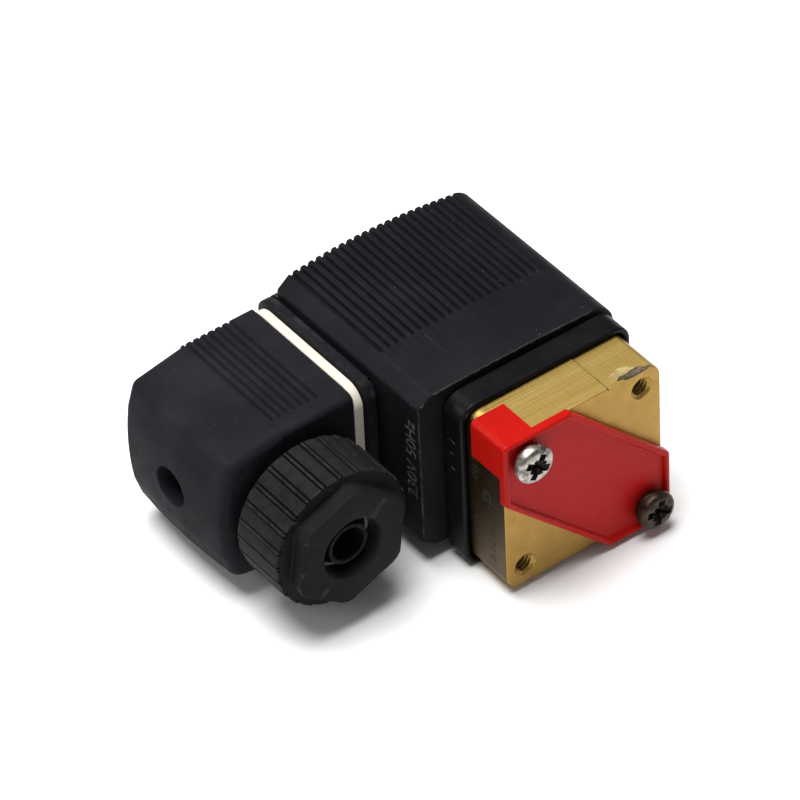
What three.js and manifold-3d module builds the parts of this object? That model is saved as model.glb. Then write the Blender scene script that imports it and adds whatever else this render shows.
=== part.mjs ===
// Solenoid valve with a flange body, a ribbed coil and a cable plug, lying on its side.
// Millimetres, +Z up. The valve axis runs along Y: the flange faces -Y, the coil nut +Y.
// The cable plug sits on the coil's -X side and its gland points along -Y.
import * as THREE from 'three';
import { mergeVertices } from 'three/addons/utils/BufferGeometryUtils.js';
import Module from 'manifold-3d';

const wasm = await Module();
wasm.setup();

// ---------- driving dimensions ----------
const GAP = 0.3; // clearance between neighbouring pieces
const SIDE = 32; // square brass body
const AXIS = SIDE / 2; // valve axis from the body's -X and -Z faces
const BODY = { depth: 13.2, corner: 2.8, holeInset: 3.8, holeR: 2.15, tapR: 1.85, holeDepth: 10.5 };
const TOP_STEP = { x: 21.5, depth: 0.25 };
const PORT = { offset: 6, boreR: 1.4, grooveIn: 2.3, grooveOut: 4.2, grooveDepth: 1.5, ringR: 0.7 };
const CHAMBER = { r: 7, floor: 6, seatR: 9, seatY: 11.2 };
const NOZZLE = { r: 2.4, boreR: 1, y0: 4.4, y1: 8.2, shoulder: 0.6, tipR: 1.6 };
const COLLAR = { out: 1.3, front: 9.3, back: 14.2, web: 13.5, corner: 3.5, holeR: 9.2 };
const TUBE = { inR: 5.3, outR: 6.3, baseR: 6.7, flangeR: 8.8, y0: 9.2, y1: 50 };
const TUBE_RING = { r: 7.9, wire: 0.7 };
const CORE = { r: 5, face: 30, shoulder: 50.3, studR: 4, end: 59.5, chamfer: 0.5, exhaustR: 1.2 };
const SHADING = { inR: 3.75, outR: 4.35, depth: 1.5, start: 0.2, length: 1 }; // ring in the core's face
const PLUNGER = {
  r: 5, y0: 9.3, y1: 28.3, chamfer: 0.5, pocketR: 4.1, pocketY: 20, postR: 2, postDrop: 1.6,
  seatR: 2.9, seatDepth: 1.4, lowerSealR: 2.6, lowerSealY: 8.4, upperSealR: 1.9, upperSealDepth: 1.3,
};
const SPRING = { r: 3.1, wire: 0.4, y0: 20.8, y1: 29.3, turns: 5.5 };
const COIL = {
  left: -5.85, right: 34, front: 14.5, back: 53, midZ: 18,
  leftZ: 14.4, shoulderX: -3.3, frontCrown: 16.45, backCrown: 17.45, crestX: 10.5, reach: 19,
  rightR: 4.5, sagittaFront: 0.35, sagittaBack: 1.64,
};
const RIBS = { count: 22, pitch: 1.57, first: -2.8, front: 27.8, width: 0.55, depth: 0.5 };
const CAVITY = { x0: 0.8, x1: 31.2, y0: 16.7, y1: 50.3, z0: 2.3, z1: 29.7, boreR: 6.9 };
const YOKE = { x0: 1.2, x1: 30.8, y0: 17.2, y1: 49.8, z0: 5, z1: 27, plate: 2.5 };
const BOBBIN = { y0: 20.2, y1: 46.8, inR: 6.7, tubeR: 7.5, flangeR: 12, flange: 1.2 };
const COIL_NUT = { flats: 13, y0: 54.5, y1: 58.7, boreR: 4.4, washerR: 8, washerY: [53.4, 54.2] };
const BASE = { x: -8.2, y: 40.3, z: 16, side: 30, corner: 3, screwHoleR: 1.9, holeEnd: -2 }; // on the coil
const GASKET = { x0: -10.1, x1: -8.3, side: 28.6, corner: 3.6, window: [19.5, 12], earth: [4, 10.5] };
const PLUG = {
  face: -10.2, kink: -24.4, end: -35.3, crown: 2.1, width: 28.2, height: 28.2, wall: 2.4,
  corner: 3.5, endDrop: 2, planEnd: -36.4, neckR: 9.7, neckBoreR: 7.2, neckFront: 15.3, wireR: 5.2,
};
const PLUG_RIBS = { count: 7, pitch: 1.45, first: -14.9, y0: 29.6, width: 0.5, depth: 0.45 };
const SCREW_WELL = { r: 3.6, floor: -28, bossR: 5.2, bossEnd: -26, holeR: 1.9 };
const TAB = { width: 6.3, thick: 0.8, x0: -16.5, x1: 0.3, offset: 8.5 };
const CONTACT = { x0: -20.6, x1: -12.4, wide: 8, thick: 3.6, slotEnd: -17, holeR: 1.5, holeEnd: -18 };
const CONTACT_SCREW = { headR: 1.9, shankR: 1.2, top: -24.2, under: -22, tip: -18.4, slot: 0.6 };
const PLUG_SCREW = { headR: 2.9, head: 2.2, gap: 1.6, shankR: 1.5, tipR: 1.1, tip: -3, slot: 0.9 };
const SCREW_SEAL = { inR: 1.8, outR: 3.1, thick: 1 };
const INSERT = { back: -21.4, corner: 1.5, holeR: 2, slotBack: -18 };
const GLAND = {
  x: -22.9, r: 13, front: 9.9, shoulder: 13, back: 23.8, flats: 20, hexR: 11.1, hexTurn: -8,
  holeR: 5.45, threadR: 10.1, threadFront: 13.2, ribs: 24, groove: 0.55, ringR: [5, 9.4],
};
const SEAL = { r: 6.8, holeR: 3.05, front: 14.9, back: 25.8, lipR: 3.9, lipFront: 11.2 };
const COVER = {
  back: -0.3, floor: -1.2, front: -2, rim: 1.15, over: 1.05, under: 0.4, holeR: 2.3,
  highDiagonal: 13.5, lowDiagonal: 12.75, // x + z on the two long slanted edges
};
const COVER_TAB = { reach: 7, top: 6.4, side: 7.4, thick: 0.75 };
const SCREW = {
  headR: 3.5, headY0: -2.6, headY1: -4.5, shankR: 1.85, tip: 8, chamfer: 0.5,
  slotReach: 2, slotHalf: 0.42, slotDepth: 1.4, turns: [0.5, 0.2],
};
const WASHER = { inR: 2.15, outR: 2.95, y0: -2.35, y1: -1.45, slit: 0.5 };

const MATERIALS = {
  housing: { color: 0x26262c, roughness: 0.62, metalness: 0 },
  collar: { color: 0x1c1c21, roughness: 0.45, metalness: 0 },
  gland: { color: 0x2c2c2f, roughness: 0.6, metalness: 0 },
  rubber: { color: 0x18181a, roughness: 0.85, metalness: 0 },
  gasket: { color: 0xe6dccb, roughness: 0.7, metalness: 0 },
  cover: { color: 0xc81e22, roughness: 0.3, metalness: 0 },
  brass: { color: 0xc9a154, roughness: 0.35, metalness: 1 },
  steel: { color: 0xb9b7b0, roughness: 0.3, metalness: 1 },
  darkSteel: { color: 0x4a4136, roughness: 0.45, metalness: 1 },
  copper: { color: 0xb06a3a, roughness: 0.35, metalness: 1 },
  insert: { color: 0x8d8a84, roughness: 0.6, metalness: 0 },
};

// ---------- geometry helpers ----------
function signedVolume(position, index) {
  const [a, b, c] = [new THREE.Vector3(), new THREE.Vector3(), new THREE.Vector3()];
  let volume = 0;
  for (let i = 0; i < index.length; i += 3) {
    a.fromBufferAttribute(position, index[i]);
    b.fromBufferAttribute(position, index[i + 1]);
    c.fromBufferAttribute(position, index[i + 2]);
    volume += a.dot(b.cross(c)) / 6;
  }
  return volume;
}

// A closed three.js geometry as a manifold solid with its faces pointing out.
function solid(geometry) {
  const bare = geometry.index ? geometry.toNonIndexed() : geometry.clone();
  bare.deleteAttribute('normal');
  bare.deleteAttribute('uv');
  const merged = mergeVertices(bare, 1e-4);
  const index = [];
  for (let i = 0; i < merged.index.count; i += 3) {
    const [a, b, c] = [0, 1, 2].map((k) => merged.index.getX(i + k));
    if (a !== b && b !== c && c !== a) index.push(a, b, c);
  }
  if (signedVolume(merged.attributes.position, index) < 0) index.reverse();
  return new wasm.Manifold(new wasm.Mesh({
    numProp: 3,
    vertProperties: new Float32Array(merged.attributes.position.array),
    triVerts: new Uint32Array(index),
  }));
}

function geometryOf(manifold) {
  const mesh = manifold.getMesh();
  const geometry = new THREE.BufferGeometry();
  geometry.setAttribute('position', new THREE.Float32BufferAttribute(mesh.vertProperties, 3));
  geometry.setIndex([...mesh.triVerts]);
  geometry.computeVertexNormals();
  return geometry;
}

const join = (first, ...others) => others.reduce((sum, other) => sum.add(other), first);
const cut = (first, ...tools) => tools.reduce((rest, tool) => rest.subtract(tool), first);

// A box given by its lowest and highest corners.
function block([x0, y0, z0], [x1, y1, z1]) {
  const geometry = new THREE.BoxGeometry(x1 - x0, y1 - y0, z1 - z0);
  return solid(geometry.translate((x0 + x1) / 2, (y0 + y1) / 2, (z0 + z1) / 2));
}

// A profile of [radius, station] points turned about the Y axis, or about the X axis.
function turnedY(profile, segments = 28) {
  return solid(new THREE.LatheGeometry(profile.map(([r, s]) => new THREE.Vector2(r, s)), segments));
}

function turnedX(profile, segments = 20) {
  const points = profile.map(([r, s]) => new THREE.Vector2(r, s));
  return solid(new THREE.LatheGeometry(points, segments).rotateZ(-Math.PI / 2));
}

const rod = (r, s0, s1) => [[0, s0], [r, s0], [r, s1], [0, s1]];
const ring = (inR, outR, s0, s1) => [[inR, s0], [outR, s0], [outR, s1], [inR, s1], [inR, s0]];

// A shape drawn in X and Z, standing from y0 to y1.
function prismY(shape, y0, y1, curveSegments = 5) {
  const options = { depth: y1 - y0, bevelEnabled: false, curveSegments };
  return solid(new THREE.ExtrudeGeometry(shape, options).rotateX(Math.PI / 2).translate(0, y1, 0));
}

// A shape drawn in Y and Z, standing from x0 to x1.
function prismX(shape, x0, x1, curveSegments = 5) {
  const options = { depth: x1 - x0, bevelEnabled: false, curveSegments };
  const turn = new THREE.Matrix4().makeBasis(
    new THREE.Vector3(0, 1, 0), new THREE.Vector3(0, 0, 1), new THREE.Vector3(1, 0, 0));
  return solid(new THREE.ExtrudeGeometry(shape, options).applyMatrix4(turn).translate(x0, 0, 0));
}

function roundedRect(cx, cy, width, height, r) {
  const [x0, x1, y0, y1] = [cx - width / 2, cx + width / 2, cy - height / 2, cy + height / 2];
  const shape = new THREE.Shape();
  shape.moveTo(x0 + r, y0);
  shape.lineTo(x1 - r, y0);
  shape.absarc(x1 - r, y0 + r, r, -Math.PI / 2, 0, false);
  shape.absarc(x1 - r, y1 - r, r, 0, Math.PI / 2, false);
  shape.absarc(x0 + r, y1 - r, r, Math.PI / 2, Math.PI, false);
  shape.absarc(x0 + r, y0 + r, r, Math.PI, Math.PI * 1.5, false);
  return shape;
}

const polygon = (points) => new THREE.Shape(points.map(([x, y]) => new THREE.Vector2(x, y)));

function hexagon(flats, turnDeg = 0) {
  const r = flats / Math.sqrt(3);
  const corner = (i) => THREE.MathUtils.degToRad(60 * i + turnDeg);
  return polygon([...Array(6).keys()].map((i) => [r * Math.cos(corner(i)), r * Math.sin(corner(i))]));
}

const oRing = (radius, wire) => solid(new THREE.TorusGeometry(radius, wire, 8, 24).rotateX(Math.PI / 2));

// A body lofted between two convex outlines in X and Z with the same number of points.
function loft(front, y0, back, y1) {
  const n = front.length;
  const vertices = [...front.map(([x, z]) => [x, y0, z]), ...back.map(([x, z]) => [x, y1, z])].flat();
  const index = [];
  for (let i = 0; i < n; i += 1) {
    const j = (i + 1) % n;
    index.push(i, j, n + j, i, n + j, n + i);
    if (i > 0 && j > 0) index.push(0, j, i, n, n + i, n + j);
  }
  const geometry = new THREE.BufferGeometry();
  geometry.setAttribute('position', new THREE.Float32BufferAttribute(vertices, 3));
  geometry.setIndex(index);
  return solid(geometry);
}

function piece(parent, name, manifold, material) {
  const mesh = new THREE.Mesh(geometryOf(manifold), new THREE.MeshStandardMaterial(MATERIALS[material]));
  mesh.name = name;
  parent.add(mesh);
  return mesh;
}

function place(parent, x, y, z) {
  const group = new THREE.Group();
  group.position.set(x, y, z);
  parent.add(group);
  return group;
}

// ---------- brass body, seat, ports ----------
function valveBody() {
  const half = SIDE / 2;
  const inset = half - BODY.holeInset;
  let body = prismY(roundedRect(0, 0, SIDE, SIDE, BODY.corner), 0, BODY.depth);
  const stepFrom = TOP_STEP.x - AXIS;
  body = cut(body, block([stepFrom, -1, half - TOP_STEP.depth], [half + 1, BODY.depth + 1, half + 1]));
  body = cut(body, turnedY(rod(CHAMBER.r, CHAMBER.floor, BODY.depth + 1)));
  body = cut(body, turnedY(rod(CHAMBER.seatR, CHAMBER.seatY, BODY.depth + 1)));
  const { holeR, tapR } = BODY;
  for (const [sx, sz, r] of [[-1, 1, holeR], [1, -1, holeR], [1, 1, tapR], [-1, -1, tapR]]) {
    const hole = new THREE.CylinderGeometry(r, r, BODY.holeDepth + 1, 16);
    hole.translate(sx * inset, (BODY.holeDepth - 1) / 2, sz * inset);
    body = cut(body, solid(hole));
  }
  // the outlet goes straight into the chamber, the inlet slants to the seat in the middle
  const outlet = new THREE.CylinderGeometry(PORT.boreR, PORT.boreR, CHAMBER.floor + 2, 16);
  body = cut(body, solid(outlet.translate(PORT.offset, CHAMBER.floor / 2, 0)));
  const slant = Math.atan2(PORT.offset, CHAMBER.floor - 1.2);
  const inlet = new THREE.CylinderGeometry(PORT.boreR, PORT.boreR, PORT.offset * 1.6, 16);
  inlet.rotateZ(-slant).translate(-PORT.offset / 2, (CHAMBER.floor - 1.2) / 2, 0);
  body = cut(body, solid(inlet), turnedY(rod(NOZZLE.r + GAP, NOZZLE.y0 - GAP, CHAMBER.floor + 1)));
  for (const side of [-1, 1]) {
    const groove = new THREE.LatheGeometry(
      ring(PORT.grooveIn, PORT.grooveOut, -1, PORT.grooveDepth).map(([r, s]) => new THREE.Vector2(r, s)), 24);
    body = cut(body, solid(groove.translate(side * PORT.offset, 0, 0)));
  }
  return body;
}

function seatNozzle() {
  return turnedY([
    [NOZZLE.boreR, NOZZLE.y0], [NOZZLE.r, NOZZLE.y0], [NOZZLE.r, CHAMBER.floor + NOZZLE.shoulder],
    [NOZZLE.tipR, NOZZLE.y1], [NOZZLE.boreR, NOZZLE.y1], [NOZZLE.boreR, NOZZLE.y0],
  ], 20);
}

function bodyCollar() {
  const out = SIDE + 2 * COLLAR.out;
  const fit = SIDE + 2 * GAP;
  const skirt = prismY(roundedRect(0, 0, out, out, COLLAR.corner), COLLAR.front, COLLAR.back);
  const inside = prismY(roundedRect(0, 0, fit, fit, BODY.corner), COLLAR.front - 1, COLLAR.web);
  return cut(skirt, inside, turnedY(rod(COLLAR.holeR, COLLAR.web - 1, COLLAR.back + 1)));
}

// ---------- core tube, plunger, fixed core ----------
function coreTube() {
  return turnedY([
    [TUBE.inR, TUBE.y0], [TUBE.baseR, TUBE.y0], [TUBE.baseR, BODY.depth + GAP / 2],
    [TUBE.flangeR, BODY.depth + GAP / 2], [TUBE.flangeR, COLLAR.back], [TUBE.outR, COLLAR.back],
    [TUBE.outR, TUBE.y1], [TUBE.inR, TUBE.y1], [TUBE.inR, TUBE.y0],
  ]);
}

function fixedCore() {
  const core = turnedY([
    [CORE.exhaustR, CORE.face], [CORE.r, CORE.face], [CORE.r, CORE.shoulder],
    [CORE.studR, CORE.shoulder + 1], [CORE.studR, CORE.end - CORE.chamfer],
    [CORE.studR - CORE.chamfer, CORE.end], [CORE.exhaustR, CORE.end], [CORE.exhaustR, CORE.face],
  ]);
  const [inR, outR] = [SHADING.inR - GAP + 0.05, SHADING.outR + GAP - 0.05];
  return cut(core, turnedY(ring(inR, outR, CORE.face - 1, CORE.face + SHADING.depth)));
}

function plunger() {
  const p = PLUNGER;
  return turnedY([
    [0, p.y0 + p.seatDepth], [p.seatR, p.y0 + p.seatDepth], [p.seatR, p.y0],
    [p.r - p.chamfer, p.y0], [p.r, p.y0 + p.chamfer], [p.r, p.y1 - p.chamfer],
    [p.r - p.chamfer, p.y1], [p.pocketR, p.y1], [p.pocketR, p.pocketY],
    [p.postR, p.pocketY], [p.postR, p.y1 - p.postDrop], [0, p.y1 - p.postDrop],
  ]);
}

function plungerSpring() {
  class Helix extends THREE.Curve {
    getPoint(t, target = new THREE.Vector3()) {
      const angle = t * SPRING.turns * 2 * Math.PI;
      const y = SPRING.y0 + t * (SPRING.y1 - SPRING.y0);
      return target.set(SPRING.r * Math.cos(angle), y, SPRING.r * Math.sin(angle));
    }
  }
  const wire = new THREE.Shape().absarc(0, 0, SPRING.wire, 0, 2 * Math.PI, false);
  const steps = Math.round(SPRING.turns * 12);
  const options = { steps, curveSegments: 3, extrudePath: new Helix(), bevelEnabled: false };
  return solid(new THREE.ExtrudeGeometry(wire, options));
}

// ---------- coil ----------
// The coil's outline in X and Z: flat sides and a crowned top and bottom, alike about midZ.
function coilOutline(crown, sagitta) {
  const { left, right, midZ, leftZ, shoulderX, crestX, rightR } = COIL;
  const height = (x) => crown - sagitta * ((x - crestX) / COIL.reach) ** 2;
  const half = [[left, leftZ], [left + 0.9, leftZ + 0.75], [shoulderX, height(shoulderX) - 0.15]];
  const crownSteps = 8;
  const crownEnd = right - rightR;
  for (let i = 1; i <= crownSteps; i += 1) {
    const x = shoulderX + ((crownEnd - shoulderX) * i) / crownSteps;
    half.push([x, height(x)]);
  }
  const endHeight = height(crownEnd);
  for (const angle of [67.5, 45, 22.5, 0].map(THREE.MathUtils.degToRad)) {
    half.push([crownEnd + rightR * Math.cos(angle), endHeight - rightR * (1 - Math.sin(angle))]);
  }
  const upper = half.map(([x, h]) => [x, midZ + h]);
  const lower = half.map(([x, h]) => [x, midZ - h]).reverse();
  return [...upper, ...lower];
}

function coilHousing() {
  const front = coilOutline(COIL.frontCrown, COIL.sagittaFront);
  const back = coilOutline(COIL.backCrown, COIL.sagittaBack);
  let body = loft(front, COIL.front, back, COIL.back);
  const base = roundedRect(BASE.y, BASE.z, BASE.side, BASE.side, BASE.corner);
  body = join(body, prismX(base, BASE.x, COIL.left + 2));
  for (let i = 0; i < RIBS.count; i += 1) {
    const x = RIBS.first + i * RIBS.pitch;
    const share = (COIL.back - RIBS.front) / (COIL.back - COIL.front);
    for (const side of [-1, 1]) {
      const top = (s) => {
        const crown = THREE.MathUtils.lerp(COIL.frontCrown, COIL.backCrown, s);
        const sagitta = THREE.MathUtils.lerp(COIL.sagittaFront, COIL.sagittaBack, s);
        return COIL.midZ + side * (crown - sagitta * ((x - COIL.crestX) / COIL.reach) ** 2);
      };
      const groove = (z) => {
        const h = RIBS.width / 2;
        return [[x - h * 1.4, z + side], [x + h * 1.4, z + side],
          [x + h * 0.6, z - side * RIBS.depth], [x - h * 0.6, z - side * RIBS.depth]];
      };
      const tool = loft(groove(top(1 - share)), RIBS.front, groove(top(1)), COIL.back + 1);
      body = cut(body, tool);
    }
  }
  const c = CAVITY;
  body = cut(body, block([c.x0, c.y0, c.z0], [c.x1, c.y1, c.z1]));
  const bore = new THREE.CylinderGeometry(c.boreR, c.boreR, 50, 28).translate(AXIS, 35, AXIS);
  body = cut(body, solid(bore));
  for (const slot of tabSlots(BASE.x - 1, c.x0 + 1)) body = cut(body, slot);
  const screwHole = turnedX(rod(BASE.screwHoleR, BASE.x - 1, BASE.holeEnd), 16);
  return cut(body, screwHole.translate([0, BASE.y, BASE.z]));
}

// Slots for the two flat contacts and the earth contact, each a little wider than its tab.
function tabSlots(x0, x1) {
  const [w, t] = [TAB.width / 2 + GAP, TAB.thick / 2 + GAP];
  return tabPlaces().map(({ y, z, flat }) => (flat
    ? block([x0, y - w, z - t], [x1, y + w, z + t])
    : block([x0, y - t, z - w], [x1, y + t, z + w])));
}

function tabPlaces() {
  return [
    { y: BASE.y - TAB.offset, z: BASE.z, flat: false },
    { y: BASE.y + TAB.offset, z: BASE.z, flat: false },
    { y: BASE.y, z: BASE.z + TAB.offset, flat: true },
  ];
}

function magnetYoke() {
  const y = YOKE;
  const frame = block([y.x0, y.y0, y.z0], [y.x1, y.y1, y.z1]);
  const p = y.plate;
  const inside = block([y.x0 + p, y.y0 + p, y.z0 - 1], [y.x1 - p, y.y1 - p, y.z1 + 1]);
  const bore = new THREE.CylinderGeometry(CAVITY.boreR, CAVITY.boreR, 50, 28).translate(AXIS, 35, AXIS);
  return cut(frame, inside, solid(bore));
}

function coilBobbin() {
  const b = BOBBIN;
  return turnedY([
    [b.inR, b.y0], [b.flangeR, b.y0], [b.flangeR, b.y0 + b.flange], [b.tubeR, b.y0 + b.flange],
    [b.tubeR, b.y1 - b.flange], [b.flangeR, b.y1 - b.flange], [b.flangeR, b.y1], [b.inR, b.y1],
    [b.inR, b.y0],
  ], 32);
}

function coilWinding() {
  const b = BOBBIN;
  return turnedY(ring(b.tubeR + GAP, b.flangeR - 0.5, b.y0 + b.flange + GAP, b.y1 - b.flange - GAP), 32);
}

function coilNut() {
  const nut = prismY(hexagon(COIL_NUT.flats), COIL_NUT.y0, COIL_NUT.y1);
  return cut(nut, turnedY(rod(COIL_NUT.boreR, COIL_NUT.y0 - 1, COIL_NUT.y1 + 1)));
}

// ---------- cable plug ----------
function plugHousing() {
  const p = PLUG;
  const half = { w: p.width / 2, h: p.height / 2 };
  // side view in X and Z: straight to the kink, then tapering to a bowed end face
  const side = new THREE.Shape();
  const [topEnd, bottomEnd] = [half.h - p.endDrop, -half.h + p.endDrop];
  const r = p.corner;
  side.moveTo(p.face, -half.h);
  side.lineTo(p.face, half.h);
  side.lineTo(p.kink, half.h);
  side.lineTo(p.end + r, topEnd + 0.3);
  side.quadraticCurveTo(p.end, topEnd, p.end - 0.15, topEnd - r);
  side.quadraticCurveTo(p.end - 2 * p.crown + 0.15, 0, p.end - 0.15, bottomEnd + r);
  side.quadraticCurveTo(p.end, bottomEnd, p.end + r, bottomEnd - 0.3);
  side.lineTo(p.kink, -half.h);
  const outer = prismY(side, -half.w, half.w, 8);
  const section = roundedRect(0, 0, p.width, p.height, p.corner);
  // plan view in X and Y, so that the end face is rounded at its upright edges as well
  const plan = new THREE.Shape();
  plan.moveTo(p.face, -half.w);
  plan.lineTo(p.end + r, -half.w);
  plan.quadraticCurveTo(p.planEnd, -half.w, p.planEnd, -half.w + r);
  plan.quadraticCurveTo(p.end - 2 * p.crown, 0, p.planEnd, half.w - r);
  plan.quadraticCurveTo(p.planEnd, half.w, p.end + r, half.w);
  plan.lineTo(p.face, half.w);
  const options = { depth: p.height + 2, bevelEnabled: false, curveSegments: 8 };
  const planBody = solid(new THREE.ExtrudeGeometry(plan, options).translate(0, 0, -half.h - 1));
  let body = outer.intersect(prismX(section, p.end - 5, p.face)).intersect(planBody);

  const w = p.wall;
  const room = block([p.end + 4.5, -half.w + w, -half.h + w], [p.face + 1, half.w - w, half.h - w]);
  const boss = turnedX(rod(SCREW_WELL.bossR, p.end + 2, SCREW_WELL.bossEnd), 24);
  body = join(cut(body, room), boss);
  const well = turnedX(rod(SCREW_WELL.r, p.end - 5, SCREW_WELL.floor), 24);
  body = cut(body, well, turnedX(rod(SCREW_WELL.holeR, p.end, SCREW_WELL.bossEnd + 1), 16));

  const neckFront = p.neckFront - BASE.y;
  const wallY = -half.w;
  const neck = turnedY(rod(p.neckR, neckFront, wallY + 1), 32).translate([GLAND.x, 0, 0]);
  const neckBore = turnedY(rod(p.neckBoreR, neckFront - 1, wallY), 28).translate([GLAND.x, 0, 0]);
  const wireHole = turnedY(rod(p.wireR, wallY - 1, wallY + w + 1), 24).translate([GLAND.x, 0, 0]);
  body = cut(join(body, neck), neckBore, wireHole);
  for (let i = 0; i < PLUG_RIBS.count; i += 1) {
    const x = PLUG_RIBS.first - i * PLUG_RIBS.pitch;
    for (const sign of [-1, 1]) {
      const [za, zb] = [sign * (half.h - PLUG_RIBS.depth), sign * (half.h + 1)];
      const groove = block(
        [x - PLUG_RIBS.width / 2, PLUG_RIBS.y0 - BASE.y, Math.min(za, zb)],
        [x + PLUG_RIBS.width / 2, half.w + 1, Math.max(za, zb)]);
      body = cut(body, groove);
    }
  }
  return body;
}

// Place the tab slots, drawn for the coil's frame, into the plug's own frame.
const inPlug = (manifold) => manifold.translate([0, -BASE.y, -BASE.z]);

function plugInsert() {
  const gap = GAP + 0.1;
  const halfW = PLUG.width / 2 - PLUG.wall - gap;
  const halfH = PLUG.height / 2 - PLUG.wall - gap;
  const shape = roundedRect(0, 0, 2 * halfW, 2 * halfH, INSERT.corner);
  let body = prismX(shape, INSERT.back, GASKET.x0 - gap - 0.1);
  body = cut(body, turnedX(rod(INSERT.holeR, INSERT.back - 1, GASKET.x0), 16));
  for (const slot of tabSlots(INSERT.slotBack, GASKET.x0)) body = cut(body, inPlug(slot));
  for (const { y, z, flat } of tabPlaces()) {
    body = cut(body, inPlug(contactBlock(y, z, flat, GAP, INSERT.back - 1, CONTACT.x1 + GAP)));
  }
  return body;
}

function contactBlock(y, z, flat, grow, x0, x1) {
  const [a, b] = [CONTACT.wide / 2 + grow, CONTACT.thick / 2 + grow];
  const [dy, dz] = flat ? [a, b] : [b, a];
  return block([x0, y - dy, z - dz], [x1, y + dy, z + dz]);
}

function contact({ y, z, flat }, index) {
  const body = contactBlock(y, z, flat, 0, CONTACT.x0, CONTACT.x1);
  const screwHole = turnedX(rod(CONTACT.holeR, CONTACT.x0 - 1, CONTACT.holeEnd), 12).translate([0, y, z]);
  return inPlug(cut(body, tabSlots(CONTACT.slotEnd, 0)[index], screwHole));
}

function contactScrew({ y, z }) {
  const s = CONTACT_SCREW;
  const screw = turnedX([
    [0, s.top], [s.headR, s.top], [s.headR, s.under], [s.shankR, s.under], [s.shankR, s.tip], [0, s.tip],
  ], 14);
  const slot = block([s.top - 1, -s.headR - 1, -s.slot / 2], [s.top + 0.7, s.headR + 1, s.slot / 2]);
  return cut(screw, slot).translate([0, y - BASE.y, z - BASE.z]);
}

function plugScrew() {
  const s = PLUG_SCREW;
  const under = SCREW_WELL.floor - s.gap;
  const top = under - s.head;
  const screw = turnedX([
    [0, top], [s.headR - 0.3, top], [s.headR, top + 0.4], [s.headR, under], [s.shankR, under],
    [s.shankR, s.tip - 0.6], [s.tipR, s.tip], [0, s.tip],
  ], 20);
  return cut(screw, block([top - 1, -s.headR - 1, -s.slot / 2], [top + 1.1, s.headR + 1, s.slot / 2]));
}

// ---------- cable gland ----------
function glandNut() {
  const g = GLAND;
  const outline = [];
  const step = (2 * Math.PI) / g.ribs;
  const grooveR = g.r - g.groove;
  // each division runs from one groove's middle to the next: groove, land, groove
  const division = [[0.06, grooveR], [0.11, g.r], [0.5, g.r], [0.89, g.r], [0.94, grooveR]];
  for (let i = 0; i < g.ribs; i += 1) {
    for (const [share, r] of division) {
      outline.push([r * Math.cos((i + share) * step), r * Math.sin((i + share) * step)]);
    }
  }
  const grip = prismY(polygon(outline), g.shoulder, g.back);
  const hexagonal = prismY(hexagon(g.flats, g.hexTurn), g.front, g.shoulder + 1);
  const hex = hexagonal.intersect(turnedY(rod(g.hexR, g.front - 1, g.shoulder + 1), 36));
  const hole = turnedY(rod(g.holeR, g.front - 1, g.back));
  const thread = turnedY(rod(g.threadR, g.threadFront, g.back + 1));
  return cut(join(grip, hex), hole, thread);
}

function glandSeal() {
  const s = SEAL;
  return turnedY([
    [s.holeR, s.lipFront], [s.lipR, s.lipFront], [s.lipR, s.front], [s.r, s.front],
    [s.r, s.back], [s.holeR, s.back], [s.holeR, s.lipFront],
  ]);
}

// ---------- flange cover and its screws ----------
// A square with two opposite corners cut away by long slanted edges, shrunk by an inset.
function coverOutline(inset) {
  const far = AXIS + COVER.over - inset;
  const near = AXIS + COVER.under - inset;
  const high = COVER.highDiagonal - inset * Math.SQRT2;
  const low = -COVER.lowDiagonal + inset * Math.SQRT2;
  return polygon([
    [-far, far], [high - far, far], [near, high - near],
    [near, -near], [low + near, -near], [-far, low + far],
  ]);
}

function flangeCover() {
  const inset = AXIS - BODY.holeInset;
  const plate = prismY(coverOutline(0), COVER.front, COVER.back);
  let body = cut(plate, prismY(coverOutline(COVER.rim), COVER.front - 1, COVER.floor));
  const edge = AXIS + COVER.over;
  const tab = (x0, x1, z0, z1) => block([x0, COVER.front, z0], [x1, COVER_TAB.reach, z1]);
  const inner = AXIS + COVER.over - COVER_TAB.thick;
  body = join(body, tab(-edge, -edge + COVER_TAB.top, inner, edge));
  body = join(body, tab(-edge, -inner, edge - COVER_TAB.side, edge));
  for (const s of [-1, 1]) {
    const hole = new THREE.CylinderGeometry(COVER.holeR, COVER.holeR, 6, 20);
    body = cut(body, solid(hole.translate(s * inset, 0, -s * inset)));
  }
  return body;
}

function coverScrew() {
  const s = SCREW;
  const screw = turnedY([
    [0, s.headY1], [s.headR * 0.4, s.headY1], [s.headR * 0.74, s.headY1 + 0.25],
    [s.headR * 0.93, s.headY1 + 0.75], [s.headR, s.headY1 + 1.25],
    [s.headR, s.headY0], [s.shankR, s.headY0], [s.shankR, s.tip - s.chamfer],
    [s.shankR - s.chamfer, s.tip], [0, s.tip],
  ], 24);
  const recess = [
    block([-s.slotReach, s.headY1 - 1, -s.slotHalf], [s.slotReach, s.headY1 + s.slotDepth, s.slotHalf]),
    block([-s.slotHalf, s.headY1 - 1, -s.slotReach], [s.slotHalf, s.headY1 + s.slotDepth, s.slotReach]),
  ];
  return cut(screw, ...recess);
}

function lockWasher() {
  const w = WASHER;
  const slit = block([0, w.y0 - 1, -w.slit / 2], [w.outR + 1, w.y1 + 1, w.slit / 2]);
  return cut(turnedY(ring(w.inR, w.outR, w.y0, w.y1), 24), slit);
}

// ---------- assembly ----------
const group = new THREE.Group();
const assembly = new THREE.Group();
group.add(assembly);

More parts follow.
